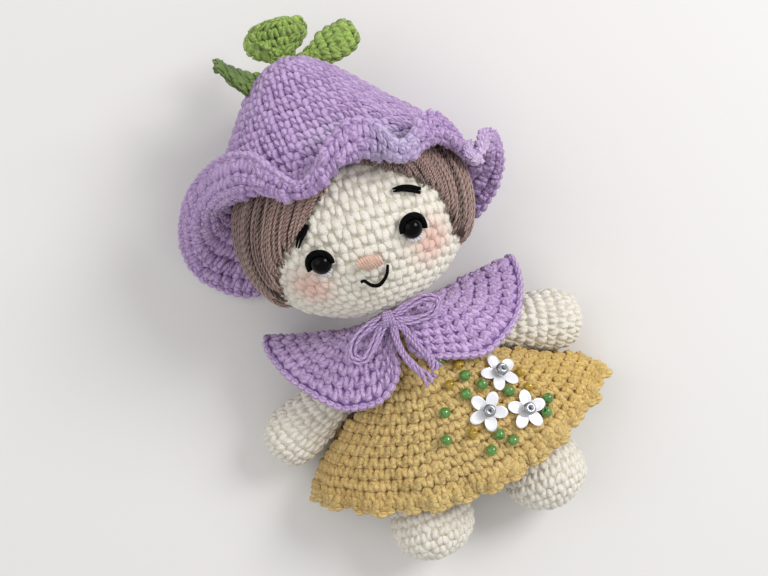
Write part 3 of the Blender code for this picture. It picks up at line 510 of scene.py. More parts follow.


# Each backing material is darker than its yarn: painted shade in the gaps between stitches
creamTone = (colour(241, 236, 224), colour(208, 200, 184))
cream = yarn("cream yarn", *creamTone, grooveShade=0.3, spread=0.25, bump=0.5)
creamBack = plain("cream backing", colour(208, 201, 184), 0.95)
lilacTone = (colour(206, 176, 222), colour(150, 114, 174))
# The collar's lilac is the hat's lilac made lighter, a lit copy of the same yarn: painted light
lilac = yarn("lilac yarn", colour(216, 186, 230), colour(160, 124, 184), rough=0.7)
lilacBack = plain("lilac backing", colour(126, 96, 156), 0.95)
# Both patches are painted light and shade: the first makes the right of the skirt yellower where the light falls, the
# second dims its left, painted shade
gold = yarn("golden yarn", colour(234, 205, 136), colour(178, 143, 78), grooveShade=0.25,
            patches=[((52, -52, 20), 44, colour(255, 247, 214), 1.0),
                     ((-38, -60, 20), 40, colour(248, 240, 228), 1.0)])
goldBack = plain("golden backing", colour(158, 120, 62), 0.95)
# The patch darkens the left leaf: painted shade
green = yarn("green yarn", colour(174, 204, 102), colour(98, 130, 48), rough=0.6,
             patches=[((-19, 88, 46), 21, colour(140, 150, 152), 1.0)])
greenBack = plain("green backing", colour(66, 98, 30), 0.95)
# The patch darkens the hair on the left: painted shade
brown = yarn("brown yarn", colour(188, 156, 146), colour(34, 22, 20), count=2, turns=22, rough=0.4,
             grooveShade=0.6, spread=0.85, bump=1.0, glow=0.1,
             patches=[((-31, 32, 45), 24, colour(146, 136, 144), 0.85)])
brownBack = plain("brown backing", colour(70, 48, 42), 0.95)
black = yarn("black yarn", colour(20, 19, 20), colour(3, 3, 4), count=3, turns=5, rough=0.8, glow=0.0,
             shine=0.08)
white = yarn("white yarn", colour(236, 234, 242), colour(205, 200, 216), count=2, turns=6)
peach = yarn("peach yarn", colour(246, 208, 186), colour(226, 176, 154), count=3, turns=0.6, rough=0.5)
lilacStrand = yarn("lilac strand", *lilacTone, count=2, turns=16, rough=0.6, grooveShade=0.5, spread=0.2)


# Head
headSize = {"width": 42.0, "height": 36.5, "depth": 34.0, "lean": -7, "neck": 7.5, "backing": 1.25,
            "hairMargin": 0.05, "crownBare": 0.6, "eyeClear": 0.9}
headTurn = rotation(headSize["lean"], "Z")
headLook = {"width": 5.1, "row": 4.3, "thick": 2.1, "top": 0.12, "point": 0.2, "open": 0.34, "wobble": 0.13,
            "dip": 0.6, "tuck": 0.6, "peak": 0.5, "bias": 0.1, "sunk": 0.15, "drift": 0.5, "stagger": 0.12,
            "reach": 0.86}


# From the head's own axes to the doll's frame: turned by its lean, moved to its centre
def inHead(points):
    return np.asarray(points, float) @ headTurn.T + headCentre


# A point on the head's ellipsoid: x = width sin p sin t, y = height cos p, z = depth sin p cos t, lifted
# along the outward normal
def ball(turn, lift=0.0, polar=0.0):
    w, h, d = headSize["width"], headSize["height"], headSize["depth"]
    turn, polar = np.broadcast_arrays(turn, polar)
    way = np.stack([np.sin(polar) * np.sin(turn), np.cos(polar), np.sin(polar) * np.cos(turn)], -1)
    normal = unit(way / [w, h, d])
    return way * [w, h, d] + normal * np.asarray(lift)[..., None], normal


# The head's grid from the crown down to the neck
def headGrid(lift=0.0, rows=100, columns=200):
    low = math.pi - math.asin(headSize["neck"] / headSize["width"])
    polar = np.linspace(0, low, rows)[:, None]
    turn = np.linspace(0, 2 * np.pi, columns, endpoint=False)[None]
    return inHead(ball(turn, lift, polar)[0])


# Point and axes (side, up, out) on the face, for shares of the head's half width
def facePlace(xShare, yShare, lift=0.0):
    w, h = headSize["width"], headSize["height"]
    latitude = math.asin(yShare * w / h)
    turn = math.asin(xShare / math.cos(latitude))
    spot, normal = ball(turn, lift, math.pi / 2 - latitude)
    out = headTurn @ normal
    side = unit(np.cross(headTurn @ np.array([0, 1, 0]), out))
    return inHead(spot), np.stack([side, np.cross(out, side), out], -1)


hairline = {
    "left": [(-118, -0.58), (-92, -0.58), (-68, -0.55), (-52, -0.36), (-40, -0.23), (-27, -0.05), (-17, 0.08),
             (-8, 0.22), (-2, 0.38)],
    "right": [(4, 0.50), (12, 0.42), (18, 0.34), (25, 0.22), (36, 0.10), (46, -0.03), (52, -0.25), (58, -0.43),
              (66, -0.53), (96, -0.57), (118, -0.58)],
    "back": [(119.5, -0.58), (150, -0.60), (180, -0.58), (210, -0.60), (240.5, -0.58)],
}


# Height share of the hairline at each turn in degrees, all round the head
def hairEdge(turns):
    line = np.array(hairline["left"] + hairline["right"])
    turns = (np.asarray(turns) + 180) % 360 - 180
    return np.where(np.abs(turns) < line[-1, 0], np.interp(turns, *line.T), line[-1, 1])


# True where the skin shows or nearly shows, under the hairline plus a margin, and on the hidden crown
def bareHead(spots):
    own = (spots - headCentre) @ headTurn
    turns = np.degrees(np.arctan2(own[:, 0] / headSize["width"], own[:, 2] / headSize["depth"]))
    share = own[:, 1] / headSize["height"]
    bare = (share < hairEdge(turns) + headSize["hairMargin"]) | (share > headSize["crownBare"])
    for side in ("left", "right"):
        place, _ = facePlace(*eyes[side])
        bare &= np.linalg.norm(spots - place, axis=1) > eyes["radius"] * headSize["eyeClear"]
    return bare


eyes = {"radius": 3.75, "dome": 3.6, "rise": 0.6, "stem": 1.3, "stemLength": 8.5, "neck": 0.3,
        "left": (-0.345, -0.325), "right": (0.415, -0.265)}
cheeks = [((-0.50, -0.50), 12.5, 0.6), ((0.56, -0.42), 13.5, 0.62)]  # place, radius in mm, strength

headSurface = surfaceOf(headGrid(), True)
skinTone = yarn("face yarn", *creamTone, grooveShade=0.25, spread=0.2, bump=0.5,
                patches=[(facePlace(*at)[0] + shift, radius, colour(250, 178, 172), strength)
                         for at, radius, strength in cheeks])
headYarn = joined("headYarn", [stitches(headSurface, headLook, keep=bareHead)], skinTone, "head")
headBacking = backing("headBacking", headSurface, headSize["backing"], creamBack, "head")
for piece in (headYarn, headBacking):
    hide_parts("head_skin")
fluff = plain("white stuffing", colour(242, 241, 236), 0.95, grain=900, depth=0.16, relief=1.0)
washerPlastic = plain("white plastic", colour(230, 230, 224), 0.4, grain=400, depth=0.05, relief=0.05)
for node, finish in (("head_stuffing", fluff), ("washer_left", washerPlastic), ("washer_right", washerPlastic)):
    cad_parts[node].material_slots[0].material = finish
print("head done", len(headYarn.data.polygons))


# Hair: long strands laid over the head from under the hat to the hairline
hairLook = {"radius": 0.52, "lift": 1.2, "top": 0.66, "rings": 26, "wander": 0.8, "uneven": 0.035,
            "loose": (-0.4, 0.6), "tucked": 0.93, "sink": 0.3, "tapered": 0.9, "taper": 0.35, "thin": 0.07,
            "backing": 0.75, "backingThick": 0.2, "overlap": 0.03}


# Points on the head at a turn in degrees and a height share, lifted off it
def onHead(turns, shares, lift):
    polar = np.arccos(np.clip(shares, -1, 1))
    return inHead(ball(np.radians(turns), lift, polar)[0])


# Strands blended from the front line to the back line, each line given as (turn, height share): they
# wander in turn, end unevenly, dive under the hairline from tucked on and thin out from tapered on
def fan(front, back, count):
    q = (np.linspace(0, 1, count) + random.normal(0, 0.15 / count, count))[:, None, None]
    rings, tucked, tapered = hairLook["rings"], hairLook["tucked"], hairLook["tapered"]
    lines = smoothLine(front, rings)[None] * (1 - q) + smoothLine(back, rings)[None] * q
    s = np.linspace(0, 1, rings)
    lines[..., 0] += np.cumsum(random.normal(0, hairLook["wander"] / 6, (count, rings)), 1)
    lines[..., 1] = top + (lines[..., 1] - top) * (1 + random.normal(0, hairLook["uneven"], (count, 1)))
    lift = hairLook["lift"] + random.uniform(*hairLook["loose"], (count, 1)) + 0 * s
    lift = lift - (hairLook["lift"] + hairLook["sink"]) * np.clip((s - tucked) / (1 - tucked), 0, 1) ** 2
    radius = hairLook["radius"] * (1 + random.normal(0, hairLook["thin"], (count, 1)))
    radius = radius * (1 - hairLook["taper"] * np.clip((s - tapered) / (1 - tapered), 0, 1))
    return strands(onHead(lines[..., 0], lines[..., 1], lift), radius, up=(0.05, 0.02, 1))


top = hairLook["top"]
hairFans = {
    "left": [([(2, top), (0, 0.52), (-1, 0.44), (-3, 0.36)],
              [(-3, top), (-9, 0.42), (-17, 0.18), (-27, -0.06)], 40),
             ([(-2, top), (-8, 0.42), (-16, 0.18), (-26, -0.05)],
              [(-26, top), (-36, 0.3), (-46, -0.02), (-52, -0.36)], 36),
             ([(-25, top), (-35, 0.3), (-45, -0.02), (-51, -0.35)],
              [(-40, top), (-54, 0.25), (-64, -0.2), (-68, -0.56)], 20),
             ([(-39, top), (-53, 0.25), (-63, -0.2), (-67, -0.55)],
              [(-118, top), (-119, 0.3), (-120, -0.1), (-121, -0.58)], 66)],
    "right": [([(3, top), (4, 0.60), (4, 0.54), (4, 0.47)],
               [(16, top), (20, 0.50), (26, 0.34), (30, 0.18)], 30),
              ([(15, top), (19, 0.50), (25, 0.34), (29, 0.18)],
               [(40, top), (44, 0.4), (46, 0.15), (46, -0.03)], 26),
              ([(39, top), (43, 0.4), (46, 0.15), (45, -0.02)],
               [(50, top), (55, 0.4), (58, 0), (58, -0.45)], 22),
              ([(49, top), (54, 0.4), (57, 0), (57, -0.43)],
               [(118, top), (119, 0.3), (119, -0.1), (118, -0.58)], 64)],
    "back": [([(116, top), (117, 0.3), (117, -0.1), (116, -0.58)],
              [(243, top), (243, 0.3), (243, -0.1), (243, -0.58)], 110)],
}
for part, fans in hairFans.items():
    hair = joined(f"hair_{part}Strands", [fan(*f) for f in fans], brown, "head")
    turns = np.linspace(hairline[part][0][0], hairline[part][-1][0], 60)
    edge = blendTable(hairline[part], turns)[:, 0]
    shares = top + (edge + hairLook["overlap"] - top) * np.linspace(0, 1, 20)[:, None]
    under = backing(f"hair_{part}Backing",
                    surfaceOf(onHead(turns[None] + 0 * shares, shares, hairLook["backing"]), False), 0,
                    brownBack, "head", 1, 1, solid=hairLook["backingThick"])
    for piece in (hair, under):
        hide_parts(f"hair_{part}")
print("hair done")


# Hat: the crown's profile as (height share, radius share) from the top down, the rim as x, y, z shares
# of the head's half width at each angle about the head's axis
hatSize = {"top": 61.0, "line": 18.0, "width": 42.76, "depth": 35.67, "sag": 3.6, "lean": 7.5, "dip": 0.24,
           "swell": 0.065, "fabric": 2.2}
hatLook = {"width": 4.4, "row": 3.7, "thick": 1.5, "top": 0.5, "point": 0.15, "open": 0.37, "wobble": 0.2, "dip": 0.7,
           "blunt": 0.58, "peak": 0.52, "tuck": 0.55, "bias": 0.08, "drift": 0.45, "stagger": 0.06, "reach": 0.9}
brimLook = {**hatLook, "width": 4.4, "row": 3.7, "thick": 1.6, "stagger": 0.04}
rimLook = {"rise": 0.7, "radius": 1.6, "step": 3.5}
crownProfile = [(1.0, 0.0), (0.99, 0.11), (0.95, 0.21), (0.86, 0.34), (0.72, 0.475), (0.55, 0.62), (0.36, 0.775),
                (0.17, 0.915), (0.0, 1.0)]
rim = [
    (-176, -0.10, -0.10, -0.925), (-158, -0.62, -0.22, -0.925), (-140, -1.10, -0.34, -0.89),
    (-128, -1.40, -0.16, -0.83), (-118, -1.53, 0.05, -0.73), (-107, -1.49, 0.30, -0.46), (-92, -1.29, 0.56, -0.11),
    (-72, -1.00, 0.69, 0.26), (-53, -0.77, 0.69, 0.52), (-42, -0.60, 0.61, 0.68), (-33, -0.50, 0.46, 0.82),
    (-22, -0.34, 0.27, 0.94), (-13, -0.17, 0.31, 1.00), (-4, -0.02, 0.49, 1.03), (8, 0.18, 0.61, 1.02),
    (17, 0.34, 0.55, 0.99), (25, 0.47, 0.36, 0.96), (33, 0.62, 0.39, 0.88), (42, 0.75, 0.53, 0.77),
    (52, 0.88, 0.48, 0.64), (64, 1.00, 0.24, 0.46), (78, 1.13, 0.10, 0.22), (92, 1.24, 0.34, -0.06),
    (104, 1.37, 0.33, -0.32), (116, 1.38, 0.10, -0.58), (127, 1.24, -0.12, -0.76), (140, 1.00, -0.26, -0.88),
    (158, 0.55, -0.14, -0.925),
]


# The hat's outside from the top of the crown to the rim: rings whose middle leans to the left with height,
# then a brim blended from the lowest ring to the rim, dipped and swollen half way
def hatGrid(columns=280, crownRows=70, brimRows=50):
    h = hatSize
    angle = np.linspace(-180, 180, columns, endpoint=False)
    u = np.radians(angle)
    profile = smoothLine(crownProfile, crownRows)
    share, radius = np.clip(profile[:, :1], 0, 1), np.maximum(profile[:, 1:], 0)
    lean = -h["sag"] * np.sin(np.pi * share) - h["lean"] * share ** 2
    crown = np.stack(np.broadcast_arrays(h["width"] * radius * np.sin(u) + lean,
                                         h["line"] + (h["top"] - h["line"]) * share,
                                         h["depth"] * radius * np.cos(u)), -1)
    crown[0] = crown[0].mean(0)
    edge = roundTable(rim, angle) * headSize["width"]
    step = np.linspace(0, 1, brimRows + 1)[1:, None, None]
    brim = crown[-1] * (1 - step) + edge * step
    bow = np.sin(np.pi * step[..., 0])
    brim[..., 1] -= h["line"] * h["dip"] * bow
    brim[..., [0, 2]] *= 1 + h["swell"] * bow[..., None]
    grid = inHead(np.concatenate([crown, brim]))
    grid[..., 2] = np.maximum(grid[..., 2], 0.3)
    return grid, crownRows


# The rows of a surface from first to last
def rowsOf(surface, first, last):
    return {**surface, "points": surface["points"][first:last], "normals": surface["normals"][first:last]}


# A row of slanted knobs along an edge: short plump tubes one after another, each across the edge
def rope(points, look, fabric, up):
    length = np.append(0, np.linalg.norm(np.diff(points, axis=0), axis=-1).cumsum())

    def readAt(values, at):
        return np.stack([np.interp(at, length, values[:, i]) for i in range(3)], -1)

    count = max(3, round(length[-1] / look["step"]))
    at = (np.arange(count) + 0.5) / count * length[-1]
    pick = readAt(points, at)
    along = unit(readAt(points, at + 0.5) - readAt(points, at - 0.5))
    normal = unit(readAt(up, at))
    s = np.linspace(-1, 1, 6)[None, :, None]
    middle = pick - normal * fabric / 2
    paths = (middle[:, None] + along[:, None] * s * look["step"] * 0.55 + normal[:, None] * s * fabric * 0.36
             + np.cross(along, normal)[:, None] * (1 - s ** 2) * look["rise"])
    radius = look["radius"] * (0.55 + 0.5 * (1 - s[..., 0] ** 2)) * (1 + random.normal(0, 0.06, (count, 1)))
    return strands(paths, radius, 6, up=np.cross(along, normal)[:, None])


hatPoints, crownRows = hatGrid()
hatSurface = surfaceOf(hatPoints, True)
crownSurface, brimSurface = rowsOf(hatSurface, 0, crownRows), rowsOf(hatSurface, crownRows - 1, None)
# The third patch lightens the right of the brim: painted light
hatYarn = yarn("hat yarn", *lilacTone, rough=0.7, mixing="MIX",
               patches=[((21.0, 38.6, 75.0), 15, colour(206, 216, 234), 0.65),
                        ((3.2, 46.5, 72.0), 14, colour(216, 206, 226), 0.45),
                        ((54.0, 20.0, 48.0), 24, colour(242, 222, 250), 0.6)])
closed = np.arange(len(hatPoints[0]) + 1) % len(hatPoints[0])
hatPieces = [
    joined("hatCrownYarn", [stitches(crownSurface, hatLook, top=0.03)], hatYarn, "hat"),
    joined("hatBrimYarn", [stitches(brimSurface, brimLook)], hatYarn, "hat"),
    joined("hatBrimInside", [stitches(brimSurface, brimLook, side=-1)], hatYarn, "hat"),
    joined("hatRim", [rope(hatPoints[-1][closed], rimLook, hatSize["fabric"], hatSurface["normals"][-1][closed])],
           hatYarn, "hat"),
]
hatBacking = backing("hatBacking", rowsOf(hatSurface, 1, None), hatSize["fabric"] / 2, lilacBack, "hat",
                     solid=0.3)
for piece in (*hatPieces, hatBacking):
    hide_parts("hat")
print("hat done", [len(p.data.polygons) for p in hatPieces])


# Stuffed forms: arms and legs as rings along a line, from (place share, width share) pairs

# Axes at start: y towards end, z near front
def along(start, end, front=(0, 0, 1)):
    y = unit(np.asarray(end, float) - start)
    x = unit(np.cross(y, front))
    return np.stack([x, y, np.cross(x, y)], -1)


# Rings along a line: x = half width x share x sin, z = half depth x share x cos, lifted by bend x place
# squared
def stuffedGrid(profile, start, end, halfWidth, halfDepth, rows=60, columns=72, front=(0, 0, 1), bend=0.0):
    start, end = np.asarray(start, float), np.asarray(end, float)
    line = smoothLine(profile, rows)
    place, share = np.clip(line[:, :1], 0, 1), np.maximum(line[:, 1:], 0)
    share[0] = share[-1] = 0
    turn = np.linspace(0, 2 * np.pi, columns, endpoint=False)
    length = np.linalg.norm(end - start)
    local = np.stack(np.broadcast_arrays(halfWidth * share * np.sin(turn), length * place,
                                         halfDepth * share * np.cos(turn) + bend * place ** 2), -1)
    return local @ along(start, end, front).T + start


limbLook = {"width": 4.9, "row": 4.1, "thick": 1.9, "top": 0.5, "point": 0.18, "open": 0.36, "wobble": 0.15, "dip": 0.62,
            "blunt": 0.56, "peak": 0.52, "tuck": 0.55, "bias": 0.08, "sunk": 0.12, "drift": 0.48, "stagger": 0.08, "reach": 0.9}
limbs = {
    "arm": {"profile": [(0, 0), (0.04, 0.39), (0.13, 0.63), (0.26, 0.70), (0.5, 0.82), (0.7, 0.97), (0.82, 1.0),
                        (0.92, 0.84), (0.98, 0.46), (1, 0)],
            "from": (19.0, -24.5, 20.0), "to": (53.5, -37.0, 12.1), "before": 8.0, "after": 11.7, "radius": 11.7},
    "leg": {"profile": [(0, 0), (0.03, 0.34), (0.11, 0.57), (0.22, 0.655), (0.38, 0.70), (0.48, 0.74), (0.6, 0.9),
                        (0.73, 1.0), (0.86, 0.9), (0.95, 0.6), (0.99, 0.27), (1, 0)],
            "from": (23.0, -61.0, 16.3), "reach": -102.0, "before": 10.5, "after": 0.0, "radius": 16.0},
}
hipMiddle = 4.0


# The arm from shoulder to hand or the leg from hip to sole, on the side that sign gives
def limbSurface(kind, sign):
    limb = limbs[kind]
    x, y, z = limb["from"]
    if kind == "arm":
        start, end = np.array([sign * x, y, z]), np.array([sign * limb["to"][0], *limb["to"][1:]])
    else:
        start = np.array([hipMiddle + sign * x, y, z])
        end = np.array([start[0] + sign * 0.3, limb["reach"], z])
    way = unit(end - start)
    grid = stuffedGrid(limb["profile"], start - way * limb["before"], end + way * limb["after"],
                       limb["radius"], limb["radius"])
    return surfaceOf(grid, True, -1)


for kind in limbs:
    for name, sign in (("left", -1), ("right", 1)):
        surface = limbSurface(kind, sign)
        body = f"{kind}_{name}"
        limbYarn = joined(f"{body}Yarn", [stitches(surface, limbLook)], cream, body)
        limbBacking = backing(f"{body}Backing", surface, 0.85, creamBack, body)
        for piece in (limbYarn, limbBacking):
            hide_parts(body)


# True where the skirt isn't in an arm's way: farther from each arm's line than the arm is thick
def outsideArms(spots):
    clear = np.ones(len(spots), bool)
    for sign in (-1, 1):
        start = np.array([sign * limbs["arm"]["from"][0], *limbs["arm"]["from"][1:]])
        end = np.array([sign * limbs["arm"]["to"][0], *limbs["arm"]["to"][1:]])
        way = end - start
        share = np.clip(((spots - start) @ way) / (way @ way), 0, 1)
        clear &= np.linalg.norm(spots - start - share[:, None] * way, axis=1) > 9.5 + 3.5 * share
    return clear


# Drops the faces whose middle isn't kept
def cutFaces(piece, keep):
    work = bmesh.new()
    work.from_mesh(piece.data)
    middles = np.array([face.calc_center_median() for face in work.faces]) / mm - shift
    kept = keep(middles)
    bmesh.ops.delete(work, geom=[face for face, stays in zip(work.faces[:], kept) if not stays], context="FACES")
    work.to_mesh(piece.data)
    work.free()


# Torso: hidden in the dress, a stuffed form from the neck to the hips
torsoSize = {"top": (0.0, -8.0, 25.0), "end": (2.0, -62.5, 21.0), "width": 22.6, "depth": 14.8}
torsoProfile = [(0, 0), (0.0001, 0.40), (0.10, 0.43), (0.22, 0.63), (0.38, 0.80), (0.56, 0.93), (0.72, 1.0),
                (0.86, 0.93), (0.96, 0.6), (1, 0)]


# True outside the arms' and legs' tops
def clearOfLimbs(spots):
    clear = outsideArms(spots)
    for sign in (-1, 1):
        hip = np.array([hipMiddle + sign * limbs["leg"]["from"][0], *limbs["leg"]["from"][1:]])
        clear &= np.linalg.norm(spots - hip, axis=1) > 13.5
    return clear


torsoSurface = surfaceOf(stuffedGrid(torsoProfile, torsoSize["top"], torsoSize["end"], torsoSize["width"],
                                     torsoSize["depth"]), True, -1)
torsoYarn = joined("torsoYarn", [stitches(torsoSurface, limbLook, keep=clearOfLimbs, top=0.03)], cream, "body")
torsoBacking = backing("torsoBacking", torsoSurface, 0.85, creamBack, "body")
cutFaces(torsoBacking, clearOfLimbs)
for piece in (torsoYarn, torsoBacking):
    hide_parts("torso")
print("limbs and torso done")


# Dress: place down the side, then half width, side rise, front rise and back rise as shares of the
# half width at the hem
dressSize = {"halfWidth": 60.5, "frontRise": 43.0, "top": 42.0, "front": 67.0, "back": 58.0, "side": 48.0,
             "waves": 15, "wave": 1.3, "fabric": 2.4}
dressLook = {"width": 4.5, "row": 4.3, "thick": 1.75, "top": 0.8, "point": 0.1, "open": 0.42, "wobble": 0.13, "dip": 0.9,
             "blunt": 0.55, "peak": 0.5, "tuck": 0.6, "bias": 0.08, "drift": 0.12, "stagger": 0.04, "reach": 0.86}
ruffleLook = {**dressLook, "start": 0.93, "end": 1.0, "flare": 0.5, "wave": 1.2, "waves": 34, "row": 4.2, "fabric": 1.6,
              "step": 3.5, "rise": 0.4, "radius": 1.55}
dressShares = [
    (0.0, 0.265, 0.41, 0.645, 0.20), (0.2, 0.345, 0.36, 0.69, 0.105), (0.4, 0.44, 0.27, 0.715, 0.053),
    (0.55, 0.59, 0.22, 0.73, 0.02), (0.7, 0.78, 0.17, 0.735, 0.0), (0.85, 0.92, 0.14, 0.73, -0.02),
    (1.0, 1.0, 0.13, 0.70, -0.02),
]


# A point on the dress, 0 at the neck to 1 at the hem: half width and rise from the table, blended between
# front, side and back by the turn's cosine, and a small wave that grows towards the hem
def dressPoint(down, turn):
    d = dressSize
    down, turn = np.broadcast_arrays(np.asarray(down, float), np.asarray(turn, float))
    width, side, front, back = np.moveaxis(blendTable(dressShares, down) * d["halfWidth"], -1, 0)
    front = front * d["frontRise"] / (0.735 * d["halfWidth"])
    cosine, sine = np.cos(turn), np.sin(turn)
    rise = side + np.where(cosine > 0, front - side, side - back) * cosine
    reach = np.where(cosine > 0, d["front"], d["back"])
    length = reach + (d["side"] - reach) * np.abs(sine) ** 2
    wave = d["wave"] * down ** 6 * np.sin(d["waves"] * turn)
    return np.stack([hipMiddle * down + (width + wave) * sine, headCentre[1] - d["top"] - length * down,
                     np.maximum(rise + wave * cosine, 0.3)], -1)


dressDown = np.linspace(0, 1, 60)[:, None]
dressTurn = np.linspace(0, 2 * np.pi, 240, endpoint=False)[None]
dressSurface = surfaceOf(dressPoint(dressDown, dressTurn), True)
dressYarn = joined("dressYarn", [stitches(dressSurface, dressLook, keep=outsideArms, bottom=0.965)], gold, "body")
dressInside = joined("dressInside", [stitches(dressSurface, dressLook, side=-1, keep=outsideArms, bottom=0.965)],
                     gold, "body")


# The ruffle: the skirt's last rows, moved out along a steady way by a wave that grows to the edge
def rufflePoint(share, turn):
    r = ruffleLook
    base = dressPoint(r["start"] + (r["end"] - r["start"]) * share, turn)
    out = np.stack([np.sin(turn) * 0.5, -0.35 + 0 * turn, 0.8 * np.cos(turn)], -1)
    wave = share * (r["flare"] + r["wave"] * np.sin(r["waves"] * turn + 1.1 * np.sin(3 * turn)))
    base = base + out * wave[..., None]
    base[..., 2] = np.maximum(base[..., 2], 0.3)
    return base


ruffleTurn = np.linspace(0, 2 * np.pi, 480, endpoint=False)[None]
ruffleSurface = surfaceOf(rufflePoint(*np.broadcast_arrays(np.linspace(0, 1, 16)[:, None], ruffleTurn)), True)
edge = np.arange(481) % 480
dressHem = joined("dressHem", [stitches(ruffleSurface, ruffleLook), stitches(ruffleSurface, ruffleLook, side=-1),
                               rope(ruffleSurface["points"][-1][edge], ruffleLook, ruffleLook["fabric"],
                                    ruffleSurface["normals"][-1][edge])], gold, "body")
dressBacking = backing("dressBacking", dressSurface, dressSize["fabric"] / 2, goldBack, "body", 2, 3, solid=0.3)
cutFaces(dressBacking, outsideArms)
for piece in (dressYarn, dressInside, dressHem, dressBacking):
    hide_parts("dress")
print("dress done", len(dressYarn.data.polygons))


# Collar: turn about the neck, then x and y of the edge as shares of the collar's reach
collarSize = {"reach": 47.5, "top": 37.5, "neckWidth": 13.8, "neckDepth": 15.4, "neckRise": 26.0, "frontRise": 46.4,
              "sideDrop": 17.0, "back": 0.6, "fabric": 2.2}
collarLook = {"width": 4.5, "row": 4.3, "thick": 1.72, "top": 0.6, "point": 0.1, "open": 0.42, "wobble": 0.2,
              "dip": 0.95, "blunt": 0.55, "peak": 0.5, "tuck": 0.62, "bias": 0.08, "sunk": 0.1, "drift": 0.5,
              "stagger": 0.08, "reach": 0.84}
collarEdge = {
    "right": [(10, 0.01, -0.26), (18, 0.08, -0.38), (28, 0.21, -0.43), (42, 0.48, -0.53), (52, 0.66, -0.49),
              (64, 0.85, -0.38), (76, 0.98, -0.19), (84, 1.02, -0.04), (90, 1.00, 0.04), (104, 0.93, -0.05),
              (124, 0.74, -0.30), (150, 0.42, -0.46), (180, 0.0, -0.50)],
    "left": [(10, -0.14, -0.30), (18, -0.21, -0.44), (28, -0.36, -0.54), (42, -0.53, -0.53), (52, -0.69, -0.46),
             (64, -0.92, -0.16), (76, -1.01, 0.06), (84, -1.03, 0.18), (90, -0.99, 0.23), (104, -0.91, 0.10),
             (124, -0.74, -0.26), (150, -0.42, -0.46), (180, 0.0, -0.50)],
}


# One wing as rows from the neck out: a line from the neck's ellipse to the edge, level first in rise and
# last in y, the edge's rise falling to the back as it goes round
def collarHalf(half, turns, rows=40):
    c = collarSize
    sign = 1 if half == "right" else -1
    share = blendTable(collarEdge[half], turns)
    t = np.radians(turns)
    neck = np.stack([sign * c["neckWidth"] * np.sin(t) - hipMiddle / 2, 0 * t + headCentre[1] - c["top"],
                     c["neckRise"] + c["neckDepth"] * np.cos(t)], -1)
    front = c["frontRise"] - c["sideDrop"] * share[:, 0] ** 2
    step = np.clip((122 - turns) / 64, 0, 1)
    rise = c["back"] + (front - c["back"]) * step * step * (3 - 2 * step)
    edge = np.stack([c["reach"] * share[:, 0], neck[:, 1] + c["reach"] * share[:, 1], rise], -1)
    out = np.linspace(0, 1, rows)[:, None]
    return np.stack([neck[:, 0] + (edge[:, 0] - neck[:, 0]) * out,
                     neck[:, 1] + (edge[:, 1] - neck[:, 1]) * out ** 1.3,
                     neck[:, 2] + (edge[:, 2] - neck[:, 2]) * out ** 0.5], -1)


# Both wings in one grid, right wing's front first, round the back, to the left wing's front
def collarGrid():
    turns = np.linspace(10, 180, 110)
    return np.concatenate([collarHalf("right", turns), collarHalf("left", turns[::-1])[:, 1:]], 1)


collarSurface = surfaceOf(collarGrid(), False)
edge = collarSurface["points"][-1]
edgeUp = collarSurface["normals"][-1]
collarYarn = joined("collarYarn", [stitches(collarSurface, collarLook, bottom=0.97)], lilac, "body")
insideLook = {**collarLook, "thick": 1.5, "wobble": 0.1}
collarInside = joined("collarInside", [stitches(collarSurface, insideLook, side=-1, bottom=0.97)], lilac, "body")
borders = [rope(edge, {"step": 3.2, "rise": 0.7, "radius": 1.35}, collarSize["fabric"], edgeUp)]
for column in (0, -1):
    line, up = collarSurface["points"][:, column], collarSurface["normals"][:, column]
    order = slice(None, None, -1 if column == 0 else 1)
    borders.append(rope(line[order], {"step": 3.2, "rise": 0.3, "radius": 1.25}, collarSize["fabric"], up[order]))
collarRim = joined("collarRim", borders, lilac, "body")
collarBacking = backing("collarBacking", collarSurface, collarSize["fabric"] / 2, lilacBack, "body", 2, 2, solid=0.3)
for piece in (collarYarn, collarInside, collarRim, collarBacking):
    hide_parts("collar")
print("collar done", len(collarYarn.data.polygons))


# Leaves: tip from the seat in shares of the leaf's length and way its face looks, in the hat's axes,
# then width and curl
leafSize = {"length": 25.0, "thick": 3.8, "seat": (-7.5, 59.2, -8.5), "radius": 6.0, "start": 0.6,
            "domeHeight": 2.6, "tilt": 34}
leafLook = {"width": 4.3, "row": 3.7, "thick": 1.5, "top": 0.6, "point": 0.14, "open": 0.38, "wobble": 0.2, "dip": 0.75,
            "blunt": 0.58, "peak": 0.66}
leaves = {
    "centre": ((0.04, 0.55, 0.28), (0, -0.25, 1), 0.86, 0.04),
    "right": ((1.0, 0.16, 0.2), (0.1, 0.2, 1), 0.56, 0.08),
    "left": ((-0.84, -0.14, 0.14), (0, 0.42, 0.9), 0.52, 0.75, 0.65, 2.0),
    "back_left": ((-0.33, 0.66, -0.3), (0, -0.1, 1), 0.52, -0.04),
    "back": ((-0.36, -0.30, -0.66), (0.3, 0.7, -0.4), 0.52, 0.08),
}
leafProfile = [(0, 0), (0.03, 0.36), (0.2, 0.54), (0.40, 0.84), (0.62, 1.0), (0.84, 0.93), (0.95, 0.7), (0.985, 0.42), (1, 0)]


# A flat stuffed leaf from near the seat to its tip, curled to its front, its middle swayed to one side
def leafSurface(tip, front, width, curl, sway=0.0, plump=1.0):
    seat = inHead(leafSize["seat"])
    way = headTurn @ np.array(tip) * leafSize["length"]
    start = seat + unit(way) * leafSize["radius"] * leafSize["start"]
    grid = stuffedGrid(leafProfile, start, start + way, width * leafSize["length"] / 2, leafSize["thick"] / 2 * plump, 50, 64,
                       headTurn @ np.array(front, float), curl * leafSize["length"])
    place = np.clip((grid - start) @ way / (way @ way), 0, 1)[..., None]
    side = along(start, start + way, headTurn @ np.array(front, float))[:, 0]
    return surfaceOf(grid + side * sway * leafSize["length"] * (place ** 2 - place), True, -1)


